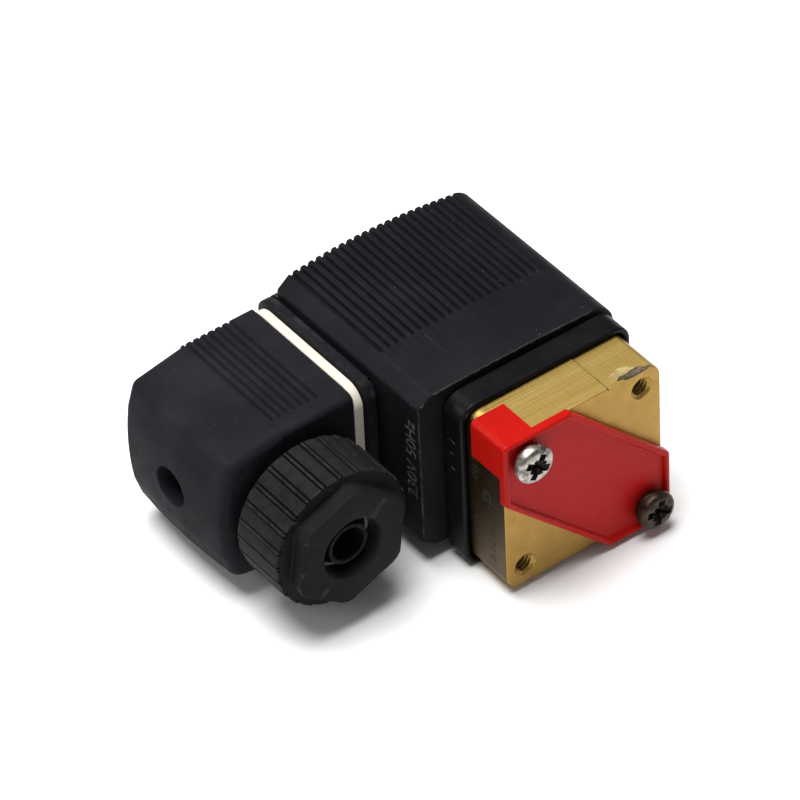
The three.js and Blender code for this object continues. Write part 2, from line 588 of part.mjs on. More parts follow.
const valve = place(assembly, AXIS, 0, AXIS);
piece(valve, 'valve_body', valveBody(), 'brass');
piece(valve, 'seat_nozzle', seatNozzle(), 'steel');
for (const [name, side] of [['inlet_o_ring', -1], ['outlet_o_ring', 1]]) {
  const seal = piece(valve, name, oRing((PORT.grooveIn + PORT.grooveOut) / 2, PORT.ringR), 'rubber');
  seal.position.set(side * PORT.offset, PORT.ringR + 0.1, 0);
}
piece(valve, 'body_collar', bodyCollar(), 'collar');
piece(valve, 'tube_o_ring', oRing(TUBE_RING.r, TUBE_RING.wire), 'rubber').position.y = CHAMBER.seatY + 1;
piece(valve, 'core_tube', coreTube(), 'steel');
piece(valve, 'fixed_core', fixedCore(), 'steel');
const shadingY = CORE.face + SHADING.start;
const shadingRing = turnedY(ring(SHADING.inR, SHADING.outR, shadingY, shadingY + SHADING.length));
piece(valve, 'shading_ring', shadingRing, 'copper');
piece(valve, 'plunger', plunger(), 'steel');
const lowerSeal = rod(PLUNGER.lowerSealR, PLUNGER.lowerSealY, PLUNGER.y0 + PLUNGER.seatDepth - GAP);
piece(valve, 'lower_seal', turnedY(lowerSeal, 20), 'rubber');
const upperSeal = rod(PLUNGER.upperSealR, PLUNGER.y1 - PLUNGER.upperSealDepth, PLUNGER.y1 - 0.1);
piece(valve, 'upper_seal', turnedY(upperSeal, 20), 'rubber');
piece(valve, 'plunger_spring', plungerSpring(), 'steel');

piece(assembly, 'coil_housing', coilHousing(), 'housing');
piece(assembly, 'magnet_yoke', magnetYoke(), 'darkSteel');
piece(valve, 'coil_bobbin', coilBobbin(), 'insert');
piece(valve, 'coil_winding', coilWinding(), 'copper');
piece(valve, 'coil_washer', turnedY(ring(COIL_NUT.boreR, COIL_NUT.washerR, ...COIL_NUT.washerY)), 'steel');
piece(valve, 'coil_nut', coilNut(), 'steel');

const tab = block([TAB.x0, -TAB.thick / 2, -TAB.width / 2], [TAB.x1, TAB.thick / 2, TAB.width / 2]);
['coil_tab_1', 'coil_tab_2', 'earth_tab'].forEach((name, i) => {
  const { y, z, flat } = tabPlaces()[i];
  const mesh = piece(assembly, name, tab, 'brass');
  mesh.position.set(0, y, z);
  if (flat) mesh.rotation.x = Math.PI / 2;
});

const plug = place(assembly, 0, BASE.y, BASE.z);
const gasketShape = roundedRect(0, 0, GASKET.side, GASKET.side, GASKET.corner);
const [earthHalf, earthTop] = GASKET.earth;
const gasketWindow = prismX(roundedRect(0, 0, ...GASKET.window, 1), GASKET.x0 - 1, GASKET.x1 + 1);
const earthWindow = block([GASKET.x0 - 1, -earthHalf, earthHalf], [GASKET.x1 + 1, earthHalf, earthTop]);
const gasket = cut(prismX(gasketShape, GASKET.x0, GASKET.x1), gasketWindow, earthWindow);
piece(plug, 'plug_gasket', gasket, 'gasket');
piece(plug, 'plug_housing', plugHousing(), 'housing');
piece(plug, 'plug_insert', plugInsert(), 'insert');
tabPlaces().forEach((spot, i) => {
  piece(plug, `contact_${i + 1}`, contact(spot, i), 'brass');
  piece(plug, `contact_screw_${i + 1}`, contactScrew(spot), 'steel');
});
piece(plug, 'plug_screw', plugScrew(), 'steel');
const sealTop = SCREW_WELL.floor - GAP - SCREW_SEAL.thick;
const screwSeal = turnedX(ring(SCREW_SEAL.inR, SCREW_SEAL.outR, sealTop, SCREW_WELL.floor - GAP), 20);
piece(plug, 'plug_screw_seal', screwSeal, 'rubber');

const gland = place(assembly, GLAND.x, 0, BASE.z);
piece(gland, 'gland_seal', glandSeal(), 'rubber');
piece(gland, 'gland_ring', turnedY(ring(...GLAND.ringR, GLAND.shoulder + 0.5, SEAL.front - GAP)), 'steel');
piece(gland, 'gland_nut', glandNut(), 'gland');

piece(valve, 'flange_cover', flangeCover(), 'cover');
[[-1, 1, 'steel'], [1, -1, 'darkSteel']].forEach(([sx, sz, finish], i) => {
  const inset = AXIS - BODY.holeInset;
  const spot = place(valve, sx * inset, 0, sz * inset);
  piece(spot, `lock_washer_${i + 1}`, lockWasher(), finish);
  piece(spot, `cover_screw_${i + 1}`, coverScrew(), finish).rotation.y = SCREW.turns[i];
});

// The origin is under the middle of the whole object, on the surface that it lies on.
const bounds = new THREE.Box3().setFromObject(assembly);
const middle = bounds.getCenter(new THREE.Vector3());
assembly.position.set(-middle.x, -middle.y, -bounds.min.z);

export default group;
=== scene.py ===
# A flange solenoid valve with a red transport cover, a ribbed coil and a cable plug, on a pale floor.
# Shapes are drawn in millimetres from the brass body's low corner: +X right, +Y towards the coil
# nut, +Z up. place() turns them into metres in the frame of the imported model.
import math

import bmesh
import bpy
from mathutils import Matrix, Vector, noise


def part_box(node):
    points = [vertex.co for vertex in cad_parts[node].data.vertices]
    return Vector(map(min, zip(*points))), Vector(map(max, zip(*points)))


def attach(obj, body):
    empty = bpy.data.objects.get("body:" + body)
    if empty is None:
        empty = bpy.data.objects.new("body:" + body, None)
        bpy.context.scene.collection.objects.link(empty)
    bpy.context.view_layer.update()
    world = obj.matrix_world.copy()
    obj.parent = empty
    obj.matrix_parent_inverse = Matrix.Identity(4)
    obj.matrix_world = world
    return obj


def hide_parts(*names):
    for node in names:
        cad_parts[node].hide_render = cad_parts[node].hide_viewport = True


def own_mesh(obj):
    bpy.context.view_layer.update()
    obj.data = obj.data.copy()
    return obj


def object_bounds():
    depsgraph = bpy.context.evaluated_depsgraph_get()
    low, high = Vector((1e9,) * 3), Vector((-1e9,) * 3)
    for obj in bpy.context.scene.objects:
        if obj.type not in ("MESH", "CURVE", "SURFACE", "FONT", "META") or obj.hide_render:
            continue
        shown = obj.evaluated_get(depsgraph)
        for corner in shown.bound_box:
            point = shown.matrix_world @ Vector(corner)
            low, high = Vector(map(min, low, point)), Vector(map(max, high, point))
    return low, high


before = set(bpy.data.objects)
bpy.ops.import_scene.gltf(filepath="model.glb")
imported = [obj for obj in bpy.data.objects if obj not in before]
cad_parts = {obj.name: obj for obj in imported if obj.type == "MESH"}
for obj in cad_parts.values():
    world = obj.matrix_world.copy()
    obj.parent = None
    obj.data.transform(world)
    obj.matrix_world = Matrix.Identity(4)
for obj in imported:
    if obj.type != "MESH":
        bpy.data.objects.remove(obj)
cad_low, cad_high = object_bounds()

MM = 0.001
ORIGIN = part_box("valve_body")[0]


# ---------- places taken from the frame ----------
def box_mm(node):
    low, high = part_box(node)
    return (low - ORIGIN) / MM, (high - ORIGIN) / MM


def middle(node):
    low, high = box_mm(node)
    return (low + high) / 2


BODY_LOW, BODY_HIGH = box_mm("valve_body")
SIDE = BODY_HIGH.x - BODY_LOW.x
AXIS = SIDE / 2
COIL_LOW, COIL_HIGH = box_mm("coil_housing")
COLLAR_LOW, COLLAR_HIGH = box_mm("body_collar")
PLUG_LOW, PLUG_HIGH = box_mm("plug_housing")
GASKET_LOW, GASKET_HIGH = box_mm("plug_gasket")
GLAND_LOW, GLAND_HIGH = box_mm("gland_nut")
SEAL_LOW, SEAL_HIGH = box_mm("gland_seal")
COVER_LOW, COVER_HIGH = box_mm("flange_cover")
NUT_LOW, NUT_HIGH = box_mm("coil_nut")
GLAND = middle("gland_nut")
PLUG = middle("plug_gasket")
PLUG_FRONT = 2 * PLUG.y - PLUG_HIGH.y  # the plug's front wall, behind the gland's neck

# ---------- sizes of the detail that the frame doesn't hold ----------
BASE_THICK = 2.35  # the coil's terminal base stands this far out of its left side
BASE_OVERHANG = 2.3  # and this far behind the coil's back
COIL_CREST = 10.5  # where the coil's top is highest
COIL_REACH = 19  # half width over which the crown falls by its sagitta
COIL_SHOULDER = -3.3  # x where the left side's slope meets the crowned top
COIL_LEFT_HALF = 14.4  # half the height of the coil's left side
COIL_RIGHT_R = 4.5
FRONT_CROWN, FRONT_SAGITTA, BACK_SAGITTA = 16.45, 0.35, 1.64
COIL_BASE_SIDE, COIL_BACK_EDGE, CORE_BORE_R = 30, 0.6, 6.9
PLUG_SCREW_HOLE_R = 1.9
# How many grooves, the pitch to the next, the first one's x, the y where they start, depth, half width.
COIL_GROOVES = {"count": 22, "pitch": 1.57, "first": -2.8, "start": 27.8, "depth": 0.68, "half": 0.52}
PLUG_GROOVES = {"count": 7, "pitch": -1.45, "first": -14.9, "start": 29.6, "depth": 0.58, "half": 0.46}
PLUG_KINK, PLUG_TAPER, PLUG_EDGE, PLUG_CORNER = -24.4, 1.9, 1.9, 1.9
PLUG_OPEN_EDGE = 1.2  # edge radius of the plug's straight stretch, next to the gasket
PLUG_END, PLUG_CROWN, PLUG_PLAN_CROWN = -35.35, 2.0, 0.9
WELL_R, WELL_DEPTH = 3.6, 9.4
GLAND_RIBS, HEX_FLATS, HEX_CLIP_R, HEX_TURN, HEX_DEPTH = 24, 20, 11.1, -8, 3.1
HOLE_INSET, TAP_R, TAP_PITCH = 3.8, 1.85, 0.7
STUD_HOLE_R = 4.4  # in the coil nut and its washer
STEP_X, STEP_DEPTH = 21.5, 0.22  # right of this x the body's top is milled this much lower
COVER_RIM, COVER_FLOOR = 1.15, 0.8
SPRING_WIRE_R, SPRING_TURNS, PLUNGER_LIFT = 0.4, 5.5, 1.5
COVER_DIAGONALS = (45.5, 19.25)  # x + z along the two long slanted edges


# ---------- outlines: lists of 2D points ----------
def rounded(corners, steps=6, closed=True):
    """Points along a polygon given as (x, y, radius) corners, with an arc at each corner."""
    points = []
    count = len(corners)
    for i, (x, y, r) in enumerate(corners):
        if r <= 0 or (not closed and i in (0, count - 1)):
            points.append((x, y))
            continue
        corner = Vector((x, y))
        before = (Vector(corners[i - 1][:2]) - corner).normalized()
        after = (Vector(corners[(i + 1) % count][:2]) - corner).normalized()
        half = before.angle(after) / 2
        centre = corner + (before + after).normalized() * (r / math.sin(half))
        start = corner + before * (r / math.tan(half)) - centre
        end = corner + after * (r / math.tan(half)) - centre
        turn = start.angle_signed(end)
        for k in range(steps + 1):
            angle = math.atan2(start.y, start.x) - turn * k / steps
            points.append((centre.x + r * math.cos(angle), centre.y + r * math.sin(angle)))
    return points


def rounded_box(x0, x1, y0, y1, r, steps=8):
    return rounded([(x0, y0, r), (x1, y0, r), (x1, y1, r), (x0, y1, r)], steps)


def circle(x, y, r, count=48):
    angles = [2 * math.pi * k / count for k in range(count)]
    return [(x + r * math.cos(a), y + r * math.sin(a)) for a in angles]


def inward_normals(points):
    """The unit inward normal, stretched at corners, at each point of a closed outline."""
    count = len(points)
    area = sum(points[i - 1][0] * points[i][1] - points[i][0] * points[i - 1][1] for i in range(count))
    side = 1 if area > 0 else -1
    normals = []
    for i in range(count):
        here = Vector(points[i])
        into = (here - Vector(points[i - 1])).normalized()
        out = (Vector(points[(i + 1) % count]) - here).normalized()
        first = Vector((-into.y, into.x)) * side
        second = Vector((-out.y, out.x)) * side
        total = first + second
        normals.append(total * (1 / max(0.3, 1 + first.dot(second))))
    return normals


def inset(points, distance):
    normals = inward_normals(points)
    return [(x + n.x * distance, y + n.y * distance) for (x, y), n in zip(points, normals)]


def along_y(points, y):
    return [(x, y, z) for x, z in points]


def along_x(points, x):
    return [(x, y, z) for y, z in points]


def smooth(low, high, value):
    t = min(1.0, max(0.0, (value - low) / (high - low)))
    return t * t * (3 - 2 * t)


def lerp(a, b, t):
    return a + (b - a) * t


def fillet(r, steps=5):
    """(inset, depth) pairs that round an edge of radius r, from the end face outwards."""
    angles = [math.pi / 2 * k / steps for k in range(steps + 1)]
    return [(r * (1 - math.sin(a)), r * (1 - math.cos(a))) for a in angles]


# ---------- solids, while they are being shaped ----------
def loft(rings, ring_shaped=False):
    """A temporary object skinned over rings of equally many points, capped or closed on itself."""
    count = len(rings[0])
    verts = [p for ring in rings for p in ring]
    faces = []
    spans = len(rings) if ring_shaped else len(rings) - 1
    for k in range(spans):
        a, b = k * count, ((k + 1) % len(rings)) * count
        faces += [(a + i, a + (i + 1) % count, b + (i + 1) % count, b + i) for i in range(count)]
    if not ring_shaped:
        faces.append(tuple(range(count)))
        faces.append(tuple(reversed(range(len(verts) - count, len(verts)))))
    mesh = bpy.data.meshes.new("shape")
    mesh.from_pydata(verts, [], faces)
    return temporary(mesh)


def temporary(mesh):
    shape = bmesh.new()
    shape.from_mesh(mesh)
    bmesh.ops.recalc_face_normals(shape, faces=shape.faces)
    shape.to_mesh(mesh)
    shape.free()
    obj = bpy.data.objects.new("shape", mesh)
    bpy.context.scene.collection.objects.link(obj)
    return obj


def pillow(outline, start, end, edge=0.3, wrap=along_y, steps=4):
    """A prism of an outline from start to end, with rounded end edges."""
    step = 1 if end > start else -1
    rings = [wrap(inset(outline, d), start + step * t) for d, t in fillet(edge, steps)]
    rings += [wrap(inset(outline, d), end - step * t) for d, t in reversed(fillet(edge, steps))]
    return loft(rings)


def turned(profile, x, z, count=64, ring_shaped=False):
    """A (radius, y) profile turned about a line along Y."""
    return loft([along_y(circle(x, z, r, count), y) for r, y in profile], ring_shaped)


def turned_x(profile, y, z, count=48, ring_shaped=False):
    return loft([along_x(circle(y, z, r, count), x) for r, x in profile], ring_shaped)


def box_shape(low, high):
    (x0, y0, z0), (x1, y1, z1) = low, high
    return loft([along_y([(x0, z0), (x1, z0), (x1, z1), (x0, z1)], y) for y in (y0, y1)])


def threaded(x, z, y0, y1, outer, inner, pitch, count=28, per_turn=8):
    """A rod along Y with a helical thread."""
    steps = int((y1 - y0) / pitch * per_turn)
    rings = []
    for k in range(steps + 1):
        y = y0 + (y1 - y0) * k / steps
        ring = []
        for i in range(count):
            phase = (y / pitch - i / count) % 1
            r = inner + (outer - inner) * (1 - abs(2 * phase - 1))
            a = 2 * math.pi * i / count
            ring.append((x + r * math.cos(a), y, z + r * math.sin(a)))
        rings.append(ring)
    return loft(rings)


def apply_modifiers(obj):
    graph = bpy.context.evaluated_depsgraph_get()
    mesh = bpy.data.meshes.new_from_object(obj.evaluated_get(graph))
    obj.modifiers.clear()
    obj.data = mesh


def combine(obj, others, operation):
    for other in others:
        modifier = obj.modifiers.new("combine", "BOOLEAN")
        modifier.operation = operation
        modifier.object = other
        modifier.solver = "EXACT"
        modifier.material_mode = "TRANSFER"
        apply_modifiers(obj)
        bpy.data.objects.remove(other)
    return obj


def cut(obj, *tools):
    return combine(obj, tools, "DIFFERENCE")


def join(obj, *others):
    return combine(obj, others, "UNION")


def painted(obj, material):
    """Gives a shape its material before it cuts or joins another, so that its faces keep it."""
    obj.data.materials.clear()
    obj.data.materials.append(material)
    return obj


def place(obj, name, body, replaces=(), sharp=35):
    """Ends the shaping: metres, the row frame, smooth faces with sharp edges, and its body."""
    obj.name = name
    obj.data.name = name
    obj.data.transform(Matrix.Translation(ORIGIN) @ Matrix.Scale(MM, 4))
    obj.data.polygons.foreach_set("use_smooth", [True] * len(obj.data.polygons))
    obj.data.set_sharp_from_angle(angle=math.radians(sharp))
    weighted = obj.modifiers.new("weighted", "WEIGHTED_NORMAL")
    weighted.keep_sharp = True
    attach(obj, body)
    if replaces:
        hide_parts(*replaces)
    return obj


def lettering(text, size, depth):
    """Extruded generic lettering, drawn in X and Y about its middle, standing along Z."""
    curve = bpy.data.curves.new("text", "FONT")
    curve.body = text
    curve.size = size
    curve.extrude = depth
    curve.align_x = "CENTER"
    curve.align_y = "CENTER"
    curve.resolution_u = 3
    obj = bpy.data.objects.new("text", curve)
    bpy.context.scene.collection.objects.link(obj)
    graph = bpy.context.evaluated_depsgraph_get()
    mesh = bpy.data.meshes.new_from_object(obj.evaluated_get(graph))
    bpy.data.objects.remove(obj)
    return temporary(mesh)


# Reads upwards on a face that looks along -X: its line runs along +Z, its letters' tops along +Y.
UPWARDS_ON_LEFT = Matrix(((0, 0, -1, 0), (0, 1, 0, 0), (1, 0, 0, 0), (0, 0, 0, 1)))


# ---------- materials ----------
class Surface:
    """A Principled material whose colour, roughness and bump come from procedural textures."""

    def __init__(self, name, color, roughness, metallic=0.0, **constants):
        self.material = bpy.data.materials.new(name)
        self.material.use_nodes = True
        self.nodes = self.material.node_tree.nodes
        self.links = self.material.node_tree.links
        self.shader = self.nodes["Principled BSDF"]
        self.shader.inputs["Base Color"].default_value = (*color, 1)
        self.shader.inputs["Roughness"].default_value = roughness
        self.shader.inputs["Metallic"].default_value = metallic
        for key, value in constants.items():
            self.shader.inputs[key.replace("_", " ")].default_value = value
        self.place = self.nodes.new("ShaderNodeTexCoord").outputs["Object"]
        self.color = color
        self.roughness = roughness
        self.normal = None

    def link(self, output, node_input):
        self.links.new(output, node_input)

    def stretched(self, scale):
        mapping = self.nodes.new("ShaderNodeMapping")
        mapping.inputs["Scale"].default_value = scale
        self.link(self.place, mapping.inputs["Vector"])
        return mapping.outputs["Vector"]

    def noise(self, per_mm, detail=3.0, rough=0.5, stretch=None):
        texture = self.nodes.new("ShaderNodeTexNoise")
        texture.inputs["Scale"].default_value = per_mm / MM
        texture.inputs["Detail"].default_value = detail
        texture.inputs["Roughness"].default_value = rough
        self.link(self.stretched(stretch) if stretch else self.place, texture.inputs["Vector"])
        return texture.outputs["Fac"]

    def ramp(self, value, low, high, first=0.0, last=1.0):
        node = self.nodes.new("ShaderNodeMapRange")
        node.interpolation_type = "SMOOTHSTEP"
        for key, number in (("From Min", low), ("From Max", high), ("To Min", first), ("To Max", last)):
            node.inputs[key].default_value = number
        self.link(value, node.inputs["Value"])
        return node.outputs["Result"]

    def times(self, a, b):
        node = self.nodes.new("ShaderNodeMath")
        node.operation = "MULTIPLY"
        self.link(a, node.inputs[0])
        self.link(b, node.inputs[1])
        return node.outputs[0]

    # a mask on sharp edges, for edge wear and painted highlight
    def worn_and_highlit_edges(self, low=0.52, high=0.62):
        geometry = self.nodes.new("ShaderNodeNewGeometry")
        return self.ramp(geometry.outputs["Pointiness"], low, high)

    def facing(self, axis, low=0.6, high=0.9):
        """1 where the object's own surface faces along an axis, such as (0, 0, 1)."""
        coordinates = self.nodes.new("ShaderNodeTexCoord")
        product = self.nodes.new("ShaderNodeVectorMath")
        product.operation = "DOT_PRODUCT"
        product.inputs[1].default_value = axis
        self.link(coordinates.outputs["Normal"], product.inputs[0])
        return self.ramp(product.outputs["Value"], low, high)

    def tint(self, mask, color):
        """Mixes a colour over the base colour by a mask."""
        base = self.shader.inputs["Base Color"]
        mix = self.nodes.new("ShaderNodeMix")
        mix.data_type = "RGBA"
        mix.inputs["A"].default_value = (*self.color, 1)
        mix.inputs["B"].default_value = (*color, 1)
        if base.is_linked:
            self.link(base.links[0].from_socket, mix.inputs["A"])
        self.link(mask, mix.inputs["Factor"])
        self.link(mix.outputs["Result"], base)

    def gloss(self, mask, roughness):
        """Mixes a roughness over the base roughness by a mask."""
        target = self.shader.inputs["Roughness"]
        mix = self.nodes.new("ShaderNodeMix")
        mix.inputs["A"].default_value = self.roughness
        mix.inputs["B"].default_value = roughness
        if target.is_linked:
            self.link(target.links[0].from_socket, mix.inputs["A"])
        self.link(mask, mix.inputs["Factor"])
        self.link(mix.outputs["Result"], target)

    def bump(self, height, depth_mm, strength=1.0):
        node = self.nodes.new("ShaderNodeBump")
        node.inputs["Strength"].default_value = strength
        node.inputs["Distance"].default_value = depth_mm * MM
        self.link(height, node.inputs["Height"])
        if self.normal:
            self.link(self.normal, node.inputs["Normal"])
        self.normal = node.outputs["Normal"]
        self.link(self.normal, self.shader.inputs["Normal"])


def moulded_plastic(name, color, roughness, grain=0.012, dust=0.4, edge=(0.05, 0.05, 0.055), shine=0.1):
    """Matt moulded plastic: spark-eroded grain, cloudy wear, edges painted lighter as wear and painted
    highlight, and dust specks.
    """
    s = Surface(name, color, roughness, Specular_IOR_Level=shine)
    cloud = s.noise(0.09, 4, 0.6)
    s.tint(s.ramp(cloud, 0.35, 0.75, 0, 0.7), [c * 1.5 + 0.003 for c in color])
    s.tint(s.ramp(s.noise(6, 2, 0.5), 0.62, 0.78, 0, 0.35), [c * 2.2 for c in color])
    # the edge colour paints the edges lighter: partly wear, partly painted highlight
    s.tint(s.times(s.worn_and_highlit_edges(), s.ramp(s.noise(0.5, 4, 0.7), 0.35, 0.7)), edge)
    s.tint(s.ramp(s.noise(2.2, 1, 0.4), 0.79, 0.83, 0, dust), (0.32, 0.31, 0.29))
    s.gloss(s.ramp(s.noise(0.35, 4, 0.6), 0.3, 0.75), roughness + 0.12)
    s.bump(s.noise(7, 3, 0.6), grain)
    s.bump(s.noise(0.6, 3, 0.5), 0.03, 0.5)
    return s.material


def rubber_material():
    s = Surface("rubber", (0.007, 0.007, 0.0075), 0.7, Specular_IOR_Level=0.08)
    s.tint(s.ramp(s.noise(1.5, 4, 0.6), 0.55, 0.8, 0, 0.6), (0.04, 0.04, 0.04))
    s.bump(s.noise(5, 3, 0.6), 0.01)
    return s.material


def gasket_material():
    s = Surface("gasket", (0.66, 0.61, 0.53), 0.62, Specular_IOR_Level=0.3)
    s.tint(s.ramp(s.noise(0.25, 5, 0.65), 0.4, 0.8, 0, 0.7), (0.54, 0.47, 0.37))
    s.tint(s.ramp(s.noise(3, 2, 0.5), 0.7, 0.8, 0, 0.4), (0.5, 0.42, 0.33))
    s.bump(s.noise(4, 3, 0.55), 0.012)
    return s.material


def cover_material(name, color, haze, roughness, shine):
    s = Surface(name, color, roughness, Specular_IOR_Level=shine)
    s.tint(s.ramp(s.noise(0.12, 4, 0.6), 0.35, 0.75, 0, 0.6), haze)
    s.tint(s.ramp(s.noise(2.6, 1, 0.4), 0.8, 0.84, 0, 0.35), (0.75, 0.3, 0.28))
    s.gloss(s.ramp(s.noise(0.5, 4, 0.6), 0.4, 0.8), roughness + 0.14)
    s.bump(s.noise(0.5, 3, 0.5), 0.012, 0.4)
    return s.material


def brass_material():
    """Milled brass with tool lines on its top and mottle on its front; the top is painted paler (painted
    highlight), the front darker and the left side much darker (painted shade).
    """
    s = Surface("brass", (0.52, 0.355, 0.1), 0.38, metallic=1.0)
    s.tint(s.ramp(s.noise(0.11, 5, 0.62), 0.4, 0.8, 0, 0.45), (0.5, 0.31, 0.08))
    s.tint(s.ramp(s.noise(0.5, 5, 0.7), 0.62, 0.82, 0, 0.35), (0.34, 0.2, 0.07))
    # the top is painted paler brass along its tool lines: real tool lines carrying a painted highlight
    top = s.facing((0, 0, 1))
    tool_lines = s.ramp(s.noise(0.8, 3, 0.6, (0.04, 1, 1)), 0.35, 0.7, 0, 0.5)
    s.tint(s.times(top, tool_lines), (0.62, 0.45, 0.155))
    # the front face is painted darker brass as painted shade; the pale and brown patches over it are real
    # mottle
    front = s.facing((0, -1, 0))
    s.tint(front, (0.34, 0.205, 0.052))
    pale_patches = s.ramp(s.noise(0.22, 5, 0.68), 0.42, 0.7, 0, 0.55)
    s.tint(s.times(front, pale_patches), (0.43, 0.275, 0.075))
    brown_patches = s.ramp(s.noise(0.4, 4, 0.7, (0.6, 1, 1)), 0.52, 0.75, 0, 0.5)
    s.tint(s.times(front, brown_patches), (0.22, 0.125, 0.035))
    # the left side is painted near-black brass: painted shade
    s.tint(s.facing((-1, 0, 0)), (0.085, 0.055, 0.024))
    s.tint(s.ramp(s.noise(1.6, 2, 0.5), 0.76, 0.82, 0, 0.8), (0.12, 0.07, 0.03))
    s.gloss(s.ramp(s.noise(0.6, 4, 0.6), 0.35, 0.75), 0.48)
    s.gloss(top, 0.46)
    s.gloss(front, 0.42)
    # milling marks: fine lines along X crossed by fainter ones along Y
    s.bump(s.noise(3.4, 2, 0.6, (0.02, 1, 1)), 0.04)
    s.bump(s.noise(3.0, 2, 0.6, (1, 0.03, 1)), 0.02)
    s.bump(s.noise(3, 3, 0.6), 0.008)
    return s.material


def worn_brass_material(name, color, stain):
    """Rubbed or bruised brass, blotched with its stain; the darkest copy also paints shade into the step's
    foot.
    """
    s = Surface(name, color, 0.6, metallic=1.0)
    s.tint(s.ramp(s.noise(0.5, 4, 0.7), 0.42, 0.65), stain)
    s.bump(s.noise(1.2, 3, 0.6), 0.02)
    return s.material


def metal_material(name, color, stain, amount, roughness):
    """Plated or plain metal with stains and turning marks."""
    s = Surface(name, color, roughness, metallic=1.0)
    s.tint(s.ramp(s.noise(0.45, 5, 0.72), 0.62 - amount * 0.4, 0.72, 0, 0.92), stain)
    s.tint(s.ramp(s.noise(1.7, 3, 0.6), 0.62, 0.75, 0, 0.5), [c * 0.45 for c in color])
    s.gloss(s.ramp(s.noise(0.6, 4, 0.6), 0.4, 0.7), min(0.9, roughness + 0.3))
    s.bump(s.noise(1.8, 4, 0.65), 0.02)
    return s.material


def winding_material():
    s = Surface("copper", (0.72, 0.33, 0.14), 0.3, metallic=1.0)
    s.tint(s.ramp(s.noise(0.5, 4, 0.6), 0.4, 0.8, 0, 0.6), (0.45, 0.17, 0.07))
    s.bump(s.noise(4, 1, 0.4, (0.1, 1, 0.1)), 0.05)
    return s.material


def print_material(name, color, background):
    """Faded print or stamped paint, broken up where it has worn away."""
    s = Surface(name, color, 0.7)
    s.tint(s.ramp(s.noise(1.3, 4, 0.7), 0.42, 0.62), background)
    s.bump(s.noise(6, 2, 0.5), 0.01)
    return s.material


def floor_material():
    s = Surface("floor", (0.93, 0.93, 0.93), 0.85, Specular_IOR_Level=0.1)
    s.tint(s.ramp(s.noise(0.02, 3, 0.5), 0.3, 0.8, 0, 0.4), (0.9, 0.9, 0.9))
    s.bump(s.noise(0.6, 3, 0.5), 0.02, 0.3)
    return s.material


HOUSING = moulded_plastic("housing", (0.0052, 0.005, 0.0068), 0.5)
PLUG_BLACK = moulded_plastic(
    "plug", (0.0118, 0.0118, 0.0148), 0.46, edge=(0.022, 0.022, 0.026), shine=0.02)
COLLAR = moulded_plastic("collar", (0.0032, 0.003, 0.004), 0.34, grain=0.006, dust=0.25)
GLAND_BLACK = moulded_plastic(
    "gland", (0.0098, 0.0095, 0.0095), 0.42, grain=0.016, edge=(0.04, 0.04, 0.038), shine=0.03)
INSERT = moulded_plastic("insert", (0.25, 0.245, 0.235), 0.6, dust=0.2, edge=(0.4, 0.4, 0.39))
FLASH = moulded_plastic("flash", (0.028, 0.026, 0.022), 0.6, grain=0.03, edge=(0.08, 0.075, 0.065))
RUBBER = rubber_material()
GASKET = gasket_material()
COVER_RED = cover_material("cover", (0.41, 0.006, 0.003), (0.35, 0.004, 0.003), 0.32, 0.1)
COVER_THIN = cover_material("cover_thin", (0.42, 0.006, 0.006), (0.37, 0.009, 0.01), 0.4, 0.1)
BRASS = brass_material()
WORN_BRASS = worn_brass_material("worn_brass", (0.5, 0.39, 0.19), (0.4, 0.3, 0.13))
# dark brass: a real bruise in the dent, and painted shade in the step's foot
BRUISE_AND_GROOVE_SHADE = worn_brass_material("bruise_and_groove_shade", (0.15, 0.12, 0.08), (0.08, 0.062, 0.04))
STEEL = metal_material("steel", (0.62, 0.6, 0.56), (0.16, 0.13, 0.09), 0.3, 0.28)
SCREW_STEEL = metal_material("screw_steel", (0.5, 0.47, 0.42), (0.03, 0.025, 0.02), 0.5, 0.3)
DARK_STEEL = metal_material("dark_steel", (0.065, 0.05, 0.036), (0.02, 0.016, 0.012), 0.5, 0.4)
# near-black metal painted into holes and the screws' cross recesses: painted shade
RECESS_SHADE = metal_material("recess", (0.045, 0.04, 0.036), (0.015, 0.013, 0.01), 0.4, 0.6)
COPPER = winding_material()
WHITE_PRINT = print_material("white_print", (0.085, 0.08, 0.075), (0.02, 0.02, 0.02))
STAMP_PAINT = print_material("stamp_paint", (0.006, 0.005, 0.004), (0.016, 0.011, 0.007))


# ---------- coil ----------
def groove_share(x, grooves):
    """How deep into a groove an x lies, from 0 on a ridge to 1 in the middle of a groove."""
    index = round((x - grooves["first"]) / grooves["pitch"])
    index = min(grooves["count"] - 1, max(0, index))
    distance = abs(x - (grooves["first"] + index * grooves["pitch"]))
    return 1 - smooth(grooves["half"] * 0.25, grooves["half"], distance)


def coil_half_outline(crown, sagitta):
    """(x, height over the middle) from the left side's middle over the top to the right side's."""
    left, right = COIL_LOW.x + BASE_THICK, COIL_HIGH.x

    def height(x):
        return crown - sagitta * ((x - COIL_CREST) / COIL_REACH) ** 2

    start = COIL_SHOULDER + 0.45
    corner = rounded([
        (left, 0, 0), (left, COIL_LEFT_HALF + 0.1, 0.9),
        (COIL_SHOULDER, height(COIL_SHOULDER) - 0.1, 1.2), (start, height(start), 0)], 14, closed=False)
    end = right - COIL_RIGHT_R
    steps = 400
    across = [lerp(start, end, k / steps) for k in range(1, steps)]
    top = [(x, height(x)) for x in across]
    arc = [math.pi / 2 * k / 30 for k in range(31)]
    turn = [(end + COIL_RIGHT_R * math.sin(a), height(end) - COIL_RIGHT_R * (1 - math.cos(a))) for a in arc]
    return corner + top + turn


